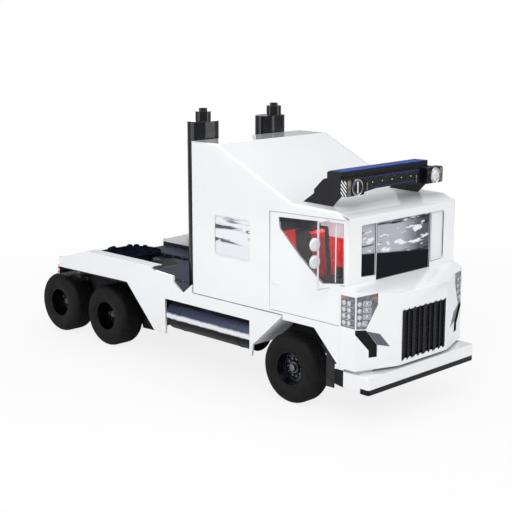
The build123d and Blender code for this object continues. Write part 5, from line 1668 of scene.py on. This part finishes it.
@dataclass
class Deck:
    """Tread-plate deck with its bands, and the coupling in black grease."""

    top: float = 1.3
    rear: float = 5.08
    plate_spot: Span = (5.06, 1.43)
    bosses: tuple[Point, ...] = ((0.33, -0.16, 0.03), (0.33, 0.04, 0.024), (0.2, -0.3, 0.022),
                                 (0.21, -0.06, 0.034), (0.4, -0.06, 0.018))
    lumps: tuple[tuple[float, float, float, float], ...] = (
        (0.19, 0.36, 0.05, 0.05), (-0.19, 0.36, 0.06, 0.065), (0.3, 0.29, 0.055, 0.045),
        (-0.31, 0.28, 0.065, 0.075), (0.4, 0.16, 0.045, 0.035), (-0.4, 0.16, 0.05, 0.05))
    dip: Span = (4.52, 1.222)
    ramp_low: float = 1.031
    ramp_high: float = 1.4
    ramp_front: float = 5.605
    ribs: tuple[float, ...] = (-0.3, -0.1, 0.1, 0.3)
    screws: int = 12
    screw_pitch: float = 0.24
    first_screw: float = 2.75

    def build(self) -> None:
        """Dresses deck and coupling."""
        Shell("rear_deck", "chassis", "deck_grey", ("deck_grey", "deck_black"), radius=0.002,
              pick=self.pick).build()
        Shell("fifth_wheel", "fifth_wheel", "fifth_black", ("fifth_black",), radius=0.004,
              shortest=0.04).build()
        self.build_approach()
        self.build_deck_screws()
        self.build_coupling_fittings()
        self.build_pickup_ramp()

    def pick(self, face: Face) -> int:
        """Black for the raised bands, grey tread plate elsewhere."""
        return 1 if face.calc_center_median().z > self.top + 0.001 else 0

    def build_approach(self) -> None:
        """The dark sheet that leads up to the coupling, and the sloped deck beside it with its bands."""
        station, low = self.dip
        work, sheets, bands = bmesh.new(), bmesh.new(), bmesh.new()
        add_plate(work, [(x, row_y(s), self.top + 0.0004)
                         for x, s in ((-0.15, 3.965), (0.15, 3.965), (0.215, 4.148), (-0.215, 4.148))],
                  (0, 0, 0.0028), 0.006)
        add_sheets(work, ((-0.215, 0.215, 4.15, 1.302), (-0.355, 0.355, station, low + 0.004),
                          (-0.55, 0.55, self.rear, low + 0.004)), 0.0028)
        for x in (-0.1, 0.1):
            add_turned(work, ((0, 0.012), (0.002, 0.011), (0.0035, 0.006), (0.004, 0.0)),
                       (x, row_y(4.0), self.top + 0.003), (0, 0, 1), 12)
        for left, right, target, lift in ((-0.676, 0.676, sheets, 0.0), (0.52, 0.6, bands, 0.003),
                                          (-0.6, -0.52, bands, 0.003)):
            add_sheets(target, [(left, right, s, z + lift)
                                for s, z in ((4.152, 1.2955), self.dip, (self.rear, low))], 0.003)
        for name, mesh, finish in (("approach_sheet", work, "approach_grey"),
                                   ("deck_infill", sheets, "deck_grey"),
                                   ("deck_infill_bands", bands, "deck_black")):
            finish_piece(name, mesh, (finish,), "chassis")

    def build_pickup_ramp(self) -> None:
        """The black ramp that stands on the rails behind the coupling, with its side cheeks."""
        work = bmesh.new()
        low, high, front = self.ramp_low, self.ramp_high, self.ramp_front
        cheek = ((front, low), (front, high), (5.66, high + 0.012), (6.00, low + 0.055), (6.00, low))
        sheet = ((front + 0.002, high - 0.016), (5.66, high), (5.998, low + 0.045), (5.998, low + 0.037),
                 (5.656, high - 0.01), (front + 0.002, high - 0.026))
        for x in (-0.42, 0.39):
            add_plate(work, at_side(x, cheek), (0.03, 0, 0), 0.01)
        add_plate(work, at_side(-0.391, sheet), (0.782, 0, 0))
        face_y = row_y(front + 0.002)
        add_plate(work, [(x, face_y, z) for x, z in ((-0.391, low + 0.02), (-0.391, high - 0.02),
                                                     (0.391, high - 0.02), (0.391, low + 0.02))],
                  (0, 0.006, 0))
        for x in self.ribs:
            add_rod(work, (x, row_y(5.7), high - 0.028), (x, row_y(5.96), low + 0.075), 0.012, 10)
        finish_piece("pickup_ramp", work, ("fifth_black",), "chassis")

    def build_deck_screws(self) -> None:
        """Countersunk screws along the deck's edges."""
        work = bmesh.new()
        for index in range(self.screws):
            station = self.first_screw + index * self.screw_pitch
            for x in (0.62, 1.19):
                lift = 0.004 if x < 0.7 and station < 4.15 else 0.0
                add_turned(work, ((0, 0.011), (0.0012, 0.01), (0.0016, 0.004), (0.0008, 0.0)),
                           (x, row_y(station), self.top + lift), (0, 0, 1), 12)
        finish_pair("deck_screws", work, "bright_metal", "chassis")

    def build_coupling_fittings(self) -> None:
        """Raised ribs, grease nipples and jaw ring on the coupling plate."""
        work = bmesh.new()
        station, z = self.plate_spot
        y, up = row_y(station), (0, 0, 1)
        add_turned(work, ((0, 0.052), (-0.0005, 0.075), (-0.004, 0.078), (-0.004, 0.05), (0, 0.052)),
                   (0, y, z), up, 40)
        for sign in (-1, 1):
            add_rod(work, (sign * 0.455, y + 0.02, z - 0.052), (sign * 0.498, y + 0.02, z - 0.052), 0.02)
        for sign in (-1, 1):
            for across, along, size in self.bosses:
                add_turned(work, ((-0.002, size), (0.007, size * 0.94), (0.013, size * 0.6), (0.015, 0.0)),
                           (sign * across, y + along, z), up, 20)
        for across, along, size, high in self.lumps:
            add_turned(work, ((-0.002, size), (high * 0.55, size), (high * 0.85, size * 0.8),
                              (high, size * 0.45), (high, 0.0)), (across, y + along, z), up, 18)
        finish_piece("coupling_fittings", work, ("fifth_black",), "fifth_wheel")


@dataclass
class Stacks:
    """Gloss-black exhaust shrouds and pipes with open mouths."""

    pipe_top: float = 4.252
    wall: float = 0.007
    mouth_depth: float = 0.12

    def build(self) -> None:
        """Builds the stacks."""
        work = node_copy("exhaust_stacks")
        mouths = [face for face in work.faces if face.normal.z > 0.9
                  and face.calc_center_median().z > self.pipe_top - 0.004]
        bmesh.ops.inset_region(work, faces=mouths, thickness=self.wall, use_even_offset=True,
                               use_boundary=True)
        sunk = bmesh.ops.extrude_discrete_faces(work, faces=mouths)["faces"]
        bmesh.ops.translate(work, vec=(0, 0, -self.mouth_depth),
                            verts=list({vert for face in sunk for vert in face.verts}))
        soften(work, 0.004, 0.004)
        keep_flats_flat(finish_piece("exhaust_stacks_skin", work, ("stack_black",), "chassis",
                                     40.0, ("exhaust_stacks",)))


@dataclass
class TailBoards:
    """Rear lamp boards: reflective tape, two round lamps and a reversing lamp on each."""

    face: float = AXLE_Y + 5.7
    z: float = 1.19

    def build(self) -> None:
        """Builds boards and lamps."""
        Shell("tail_lamps", "chassis", "tail_red", ("tail_tape", "frame_black"), radius=0.003,
              pick=self.pick).build()
        profile = ((-0.004, 0.048), (0.004, 0.048), (0.006, 0.044), (0.009, 0.03), (0.0095, 0.0))
        for name, finish, places in (("tail_lamp_lenses", "lens_red", (0.94, 1.06)),
                                     ("reversing_lenses", "lens_white", (1.18,))):
            work = bmesh.new()
            for x in places:
                add_turned(work, profile, (x, self.face - 0.006, self.z), (0, 1, 0), 32)
            finish_pair(name, work, finish, "chassis", 50.0)

    def pick(self, face: Face) -> int:
        """Tape on the outer ends, black elsewhere."""
        return 0 if abs(face.calc_center_median().x) > BODY_HALF - 0.004 else 1


# ---- Mirrors ----
@dataclass
class Mirrors:
    """Round mirror heads on a white post, with glass on their rear faces."""

    head_x: float = 1.53
    station: float = -0.83
    heights: Span = (2.34, 2.585)
    depth: float = 0.044

    def build(self) -> None:
        """Builds both sides."""
        y = row_y(self.station) + self.depth / 2 - 0.0009
        for side in Side:
            door = f"door_{side.label}"
            Shell(f"mirror_{side.label}", door, "mirror_chrome", ("mirror_shell",), radius=0.0,
                  smooth=40.0).build()
            glass = bmesh.new()
            for z in self.heights:
                add_turned(glass, ((-0.003, 0.088), (0.0004, 0.087), (0.0007, 0.06), (0.0009, 0.0)),
                           (side.value * self.head_x, y, z), (0, 1, 0), 40)
            finish_piece(f"mirror_glass_{side.label}", glass, ("mirror_glass",), door,
                         50.0)


# ---- Interior ----
@dataclass
class Cushion:
    """A stuffed leather cushion, swelled from its solid and sewn with channels."""

    name: str
    low: Point
    high: Point
    lean: float = 0.0
    channels: int = 3
    voxel: float = 0.01
    swell: float = 0.014
    finish: str = "seat_red"
    bolster: float = 0.0
    pressure: float = 4.0
    frames: int = 14
    seam_depth: float = 0.01
    seam_width: float = 0.16

    def build(self) -> bpy.types.Object:
        """Builds the cushion, puffed by the cloth solver.

        Returns:
            The cushion, not yet riding on anything.
        """
        work = bmesh.new()
        shrink = Vector((self.swell,) * 3) * 0.75
        low, high = Vector(self.low) + shrink, Vector(self.high) - shrink
        add_block(work, tuple(low), tuple(high), min(high - low) * 0.22, 3)
        bmesh.ops.subdivide_edges(work, edges=[e for e in work.edges if e.calc_length() > 0.08],
                                  cuts=max(2, int(max(high - low) / 0.05)), use_grid_fill=True)
        piece = place_object(self.name, mesh_from(self.name, work))
        self.remesh(piece)
        self.puff(piece)
        self.fit(piece)
        self.sew(piece)
        self.dress(piece.data)
        return piece

    def dress(self, mesh: bpy.types.Mesh) -> None:
        """Gives the cushion its hide, with black bolsters along its sides.

        Args:
            mesh: the cushion's mesh.
        """
        mesh.materials.clear()
        mesh.materials.append(STOCK[self.finish])
        if self.bolster:
            mesh.materials.append(STOCK["seat_black"])
            rim = self.bolster * (self.high[0] - self.low[0])
            for face in mesh.polygons:
                if not self.low[0] + 0.15 * rim < face.center.x < self.high[0] - rim:
                    face.material_index = 1
        mesh.shade_smooth()

    def remesh(self, piece: bpy.types.Object) -> None:
        """Replaces the mesh with an even voxel mesh.

        Args:
            piece: the cushion.
        """
        piece.data.remesh_voxel_size = self.voxel
        bpy.context.view_layer.objects.active = piece
        with bpy.context.temp_override(object=piece, active_object=piece, selected_objects=[piece]):
            bpy.ops.object.voxel_remesh()

    def puff(self, piece: bpy.types.Object) -> None:
        """Blows the cushion up with the cloth solver and applies the result, capped.

        Args:
            piece: the cushion.
        """
        start = [vert.co.copy() for vert in piece.data.vertices]
        cloth = piece.modifiers.new("stuffing", "CLOTH")
        cloth.settings.use_pressure = True
        cloth.settings.uniform_pressure_force = self.pressure
        cloth.settings.effector_weights.gravity = 0.0
        cloth.settings.quality = 4
        scene = bpy.context.scene
        for step in range(1, self.frames + 1):
            scene.frame_set(step)
        shape = piece.evaluated_get(bpy.context.evaluated_depsgraph_get())
        ends = [vert.co.copy() for vert in shape.data.vertices]
        piece.modifiers.remove(cloth)
        scene.frame_set(1)
        most = self.swell * 1.5
        for vert, before, after in zip(piece.data.vertices, start, ends):
            move = after - before
            if move.length > most:
                move *= most / move.length
            vert.co = before + move

    def fit(self, piece: bpy.types.Object) -> None:
        """Keeps the cushion inside its room and flat on the face that it rests on.

        Args:
            piece: the cushion.
        """
        low, high = Vector(self.low), Vector(self.high)
        for vert in piece.data.vertices:
            for axis in range(3):
                vert.co[axis] = min(max(vert.co[axis], low[axis] + 0.0005), high[axis] - 0.0005)

    def sew(self, piece: bpy.types.Object) -> None:
        """Presses the sewn channels into the shown faces, then leans the cushion.

        Args:
            piece: the cushion.
        """
        low, high = Vector(self.low), Vector(self.high)
        size = high - low
        thin = min(range(3), key=lambda axis: size[axis])
        middle = (high[thin] + low[thin]) / 2
        for vert in piece.data.vertices:
            share = (vert.co.x - low.x) / size.x
            channel = abs(math.sin(math.pi * share * self.channels))
            depth = self.seam_depth * math.exp(-(channel / self.seam_width) ** 2)
            if min(share, 1 - share) > 0.03:
                vert.co[thin] -= math.copysign(depth, vert.co[thin] - middle)
        if self.lean:
            pivot = Vector((0, low.y, low.z))
            turn = Matrix.Rotation(math.radians(self.lean), 3, "X")
            for vert in piece.data.vertices:
                vert.co = pivot + turn @ (vert.co - pivot)


@dataclass
class Interior:
    """Black seat shells with red pads, red sleeper lining and mattress, dashboard."""

    back_lean: float = 5.4

    def build(self) -> None:
        """Builds the interior."""
        Shell("seats", "cab", "seat_black", ("seat_black",), radius=0.012, shortest=0.03).build()
        Shell("dashboard", "cab", "dash_black", ("dash_black",), radius=0.006).build()
        Shell("sleeper_lining", "cab", "seat_red", ("lining_red",), radius=0.015).build()
        self.build_pads()
        self.build_mattress()

    def pad_solids(self) -> list[tuple[Vector, Vector]]:
        """The boxes of the CAD pads on the +X seat.

        Returns:
            The lowest and highest corner of each, from the lowest pad up.
        """
        work = node_copy("seat_pads")
        left, boxes = set(work.verts), []
        while left:
            stack, island = [left.pop()], []
            while stack:
                vert = stack.pop()
                island.append(vert.co.copy())
                for other in (edge.other_vert(vert) for edge in vert.link_edges):
                    if other in left:
                        left.remove(other)
                        stack.append(other)
            low, high = (Vector(pick(co[axis] for co in island) for axis in range(3))
                         for pick in (min, max))
            if low.x > 0:
                boxes.append((low, high))
        work.free()
        return sorted(boxes, key=lambda pair: pair[0].z)

    def build_pads(self) -> None:
        """Seat, back and head pads of both seats."""
        squab, back, head = self.pad_solids()
        drift = math.tan(math.radians(self.back_lean)) * (back[1].z - back[0].z)
        plans = (("seat_cushion", *squab, 0.0, 3, "seat_black"),
                 ("seat_back_pad", back[0], back[1] - Vector((0, drift, 0)), -self.back_lean, 3,
                  "seat_red"),
                 ("seat_head_pad", head[0], head[1] - Vector((0, 0.012, 0)), 0.0, 1, "seat_black"))
        made = []
        for name, low, high, tilt, channels, finish in plans:
            pad = Cushion(f"{name}_left", tuple(low), tuple(high), tilt, channels, finish=finish,
                          bolster=0.2).build()
            twin = place_object(f"{name}_right", pad.data.copy())
            twin.data.transform(Matrix.Diagonal((-1, 1, 1, 1)))
            twin.data.flip_normals()
            made += [pad, twin]
        for piece in made:
            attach(piece, "cab")
            LOG.info("%s: %d faces", piece.name, len(piece.data.polygons))
        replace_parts(made[0], "seat_pads")

    def build_mattress(self) -> None:
        """The bunk's mattress."""
        low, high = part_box("bunk")
        piece = Cushion("bunk_mattress", tuple(low), tuple(high), 0.0, 5, 0.018, 0.016).build()
        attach(piece, "cab")
        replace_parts(piece, "bunk")


# ---- Studio ----
@dataclass
class Studio:
    """Pale floor, soft lamps and the camera."""

    eye: Point = (-13.266, -13.819, 5.709)
    yaw: float = 44.87
    pitch: float = -11.73
    lens: float = 82.0
    lamps: tuple[tuple[str, Point, float, float], ...] = (
        ("key", (-9.0, -9.0, 11.0), 9.0, 930.0), ("fill", (-12.0, 5.0, 6.0), 9.0, 460.0),
        ("front", (7.0, -13.0, 6.0), 8.0, 460.0), ("rear", (6.0, 11.0, 9.0), 9.0, 460.0),
        ("top", (-1.0, -3.0, 13.0), 9.0, 400.0))
    aim: Point = (0.0, 0.0, 1.6)
    surround: float = 0.455

    def build(self) -> None:
        """Builds the studio."""
        self.build_camera()
        self.build_world()
        self.build_floor()
        for lamp in self.lamps:
            self.build_lamp(*lamp)
        dome = self.build_lamp("dome", (0.0, row_y(0.2), 2.93), 0.9, 70.0)
        dome.rotation_euler = (0, 0, 0)
        dome.visible_camera = dome.visible_transmission = dome.visible_glossy = False

    def build_camera(self) -> None:
        """Places the camera."""
        camera = bpy.data.cameras.new("camera")
        camera.lens, camera.sensor_width, camera.clip_end = self.lens, 36.0, 500.0
        item = place_object("camera", camera)
        yaw, pitch = math.radians(self.yaw), math.radians(self.pitch)
        look = Vector((math.sin(yaw) * math.cos(pitch), math.cos(yaw) * math.cos(pitch), math.sin(pitch)))
        item.location = self.eye
        item.rotation_euler = look.to_track_quat("-Z", "Y").to_euler()
        bpy.context.scene.camera = item
        bpy.context.scene.view_settings.view_transform = "Standard"

    def build_world(self) -> None:
        """An even pale surround that the camera sees as white, through glass too."""
        graph = Graph("studio", of_world=True)
        rays = graph.add("LightPath", {}).outputs
        seen = graph.math("MAXIMUM", rays["Is Camera Ray"], rays["Is Transmission Ray"])
        light = graph.add("Background", {"Color": (0.93, 0.96, 1.0), "Strength": self.surround})
        white = graph.add("Background", {"Color": (1.0, 1.0, 1.0), "Strength": 1.0})
        graph.close(graph.add("MixShader", {"Fac": seen, 1: light.outputs[0], 2: white.outputs[0]}))
        bpy.context.scene.world = graph.owner

    def build_floor(self) -> None:
        """A wide pale floor that keeps the shadow."""
        work = bmesh.new()
        bmesh.ops.create_circle(work, cap_ends=True, segments=64, radius=220.0)
        floor = place_object("floor", mesh_from("floor", work))
        graph = Graph("floor_pale")
        cloud = graph.spread(graph.noise(graph.place, 0.6), 0.3, 0.7)
        matt = graph.add("BsdfDiffuse", {"Color": graph.blend(cloud, (0.8, 0.8, 0.8),
                                                              (0.79, 0.79, 0.795))})
        glow = graph.add("Emission", {"Strength": 1.0})
        x, y, _ = graph.split(graph.place)
        away = graph.math("SQRT", graph.math("ADD", graph.product(x, x), graph.product(y, y)))
        seen = graph.add("LightPath", {}).outputs["Is Camera Ray"]
        share = graph.product(seen, graph.spread(away, 4.0, 13.0, 0.84, 1.0))
        graph.close(graph.add("MixShader", {"Fac": share, 1: matt.outputs[0], 2: glow.outputs[0]}))
        floor.data.materials.append(graph.owner)

    def build_lamp(self, name: str, place: Point, size: float, power: float) -> bpy.types.Object:
        """A square soft lamp aimed at the vehicle's middle.

        Args:
            name: the lamp's name.
            place: where it stands.
            size: edge length.
            power: watts.

        Returns:
            The lamp.
        """
        lamp = bpy.data.lights.new(name, "AREA")
        lamp.size, lamp.energy = size, power
        item = place_object(name, lamp)
        item.location = place
        look = Vector(self.aim) - Vector(place)
        item.rotation_euler = look.to_track_quat("-Z", "Y").to_euler()
        return item


def main() -> None:
    """Builds the whole vehicle and its studio."""
    wheels = [Wheel(place, side, station, width, dish) for side in Side
              for place, station, width, dish in (("front", 0.0, 0.4, 0.01),
                                                  ("drive", 4.418, 0.48, -0.06),
                                                  ("rear", 5.788, 0.48, -0.06))]
    parts: list[object] = [Studio(), CabShell(), Headlamps(), Grille(), RoofVisor(), Chassis(),
                           SkirtPanels(), Deck(), Stacks(), TailBoards(), Mirrors(), Interior(), *wheels]
    for part in parts:
        LOG.info("building %s", type(part).__name__)
        part.build()


if __name__ == "__main__":
    main()
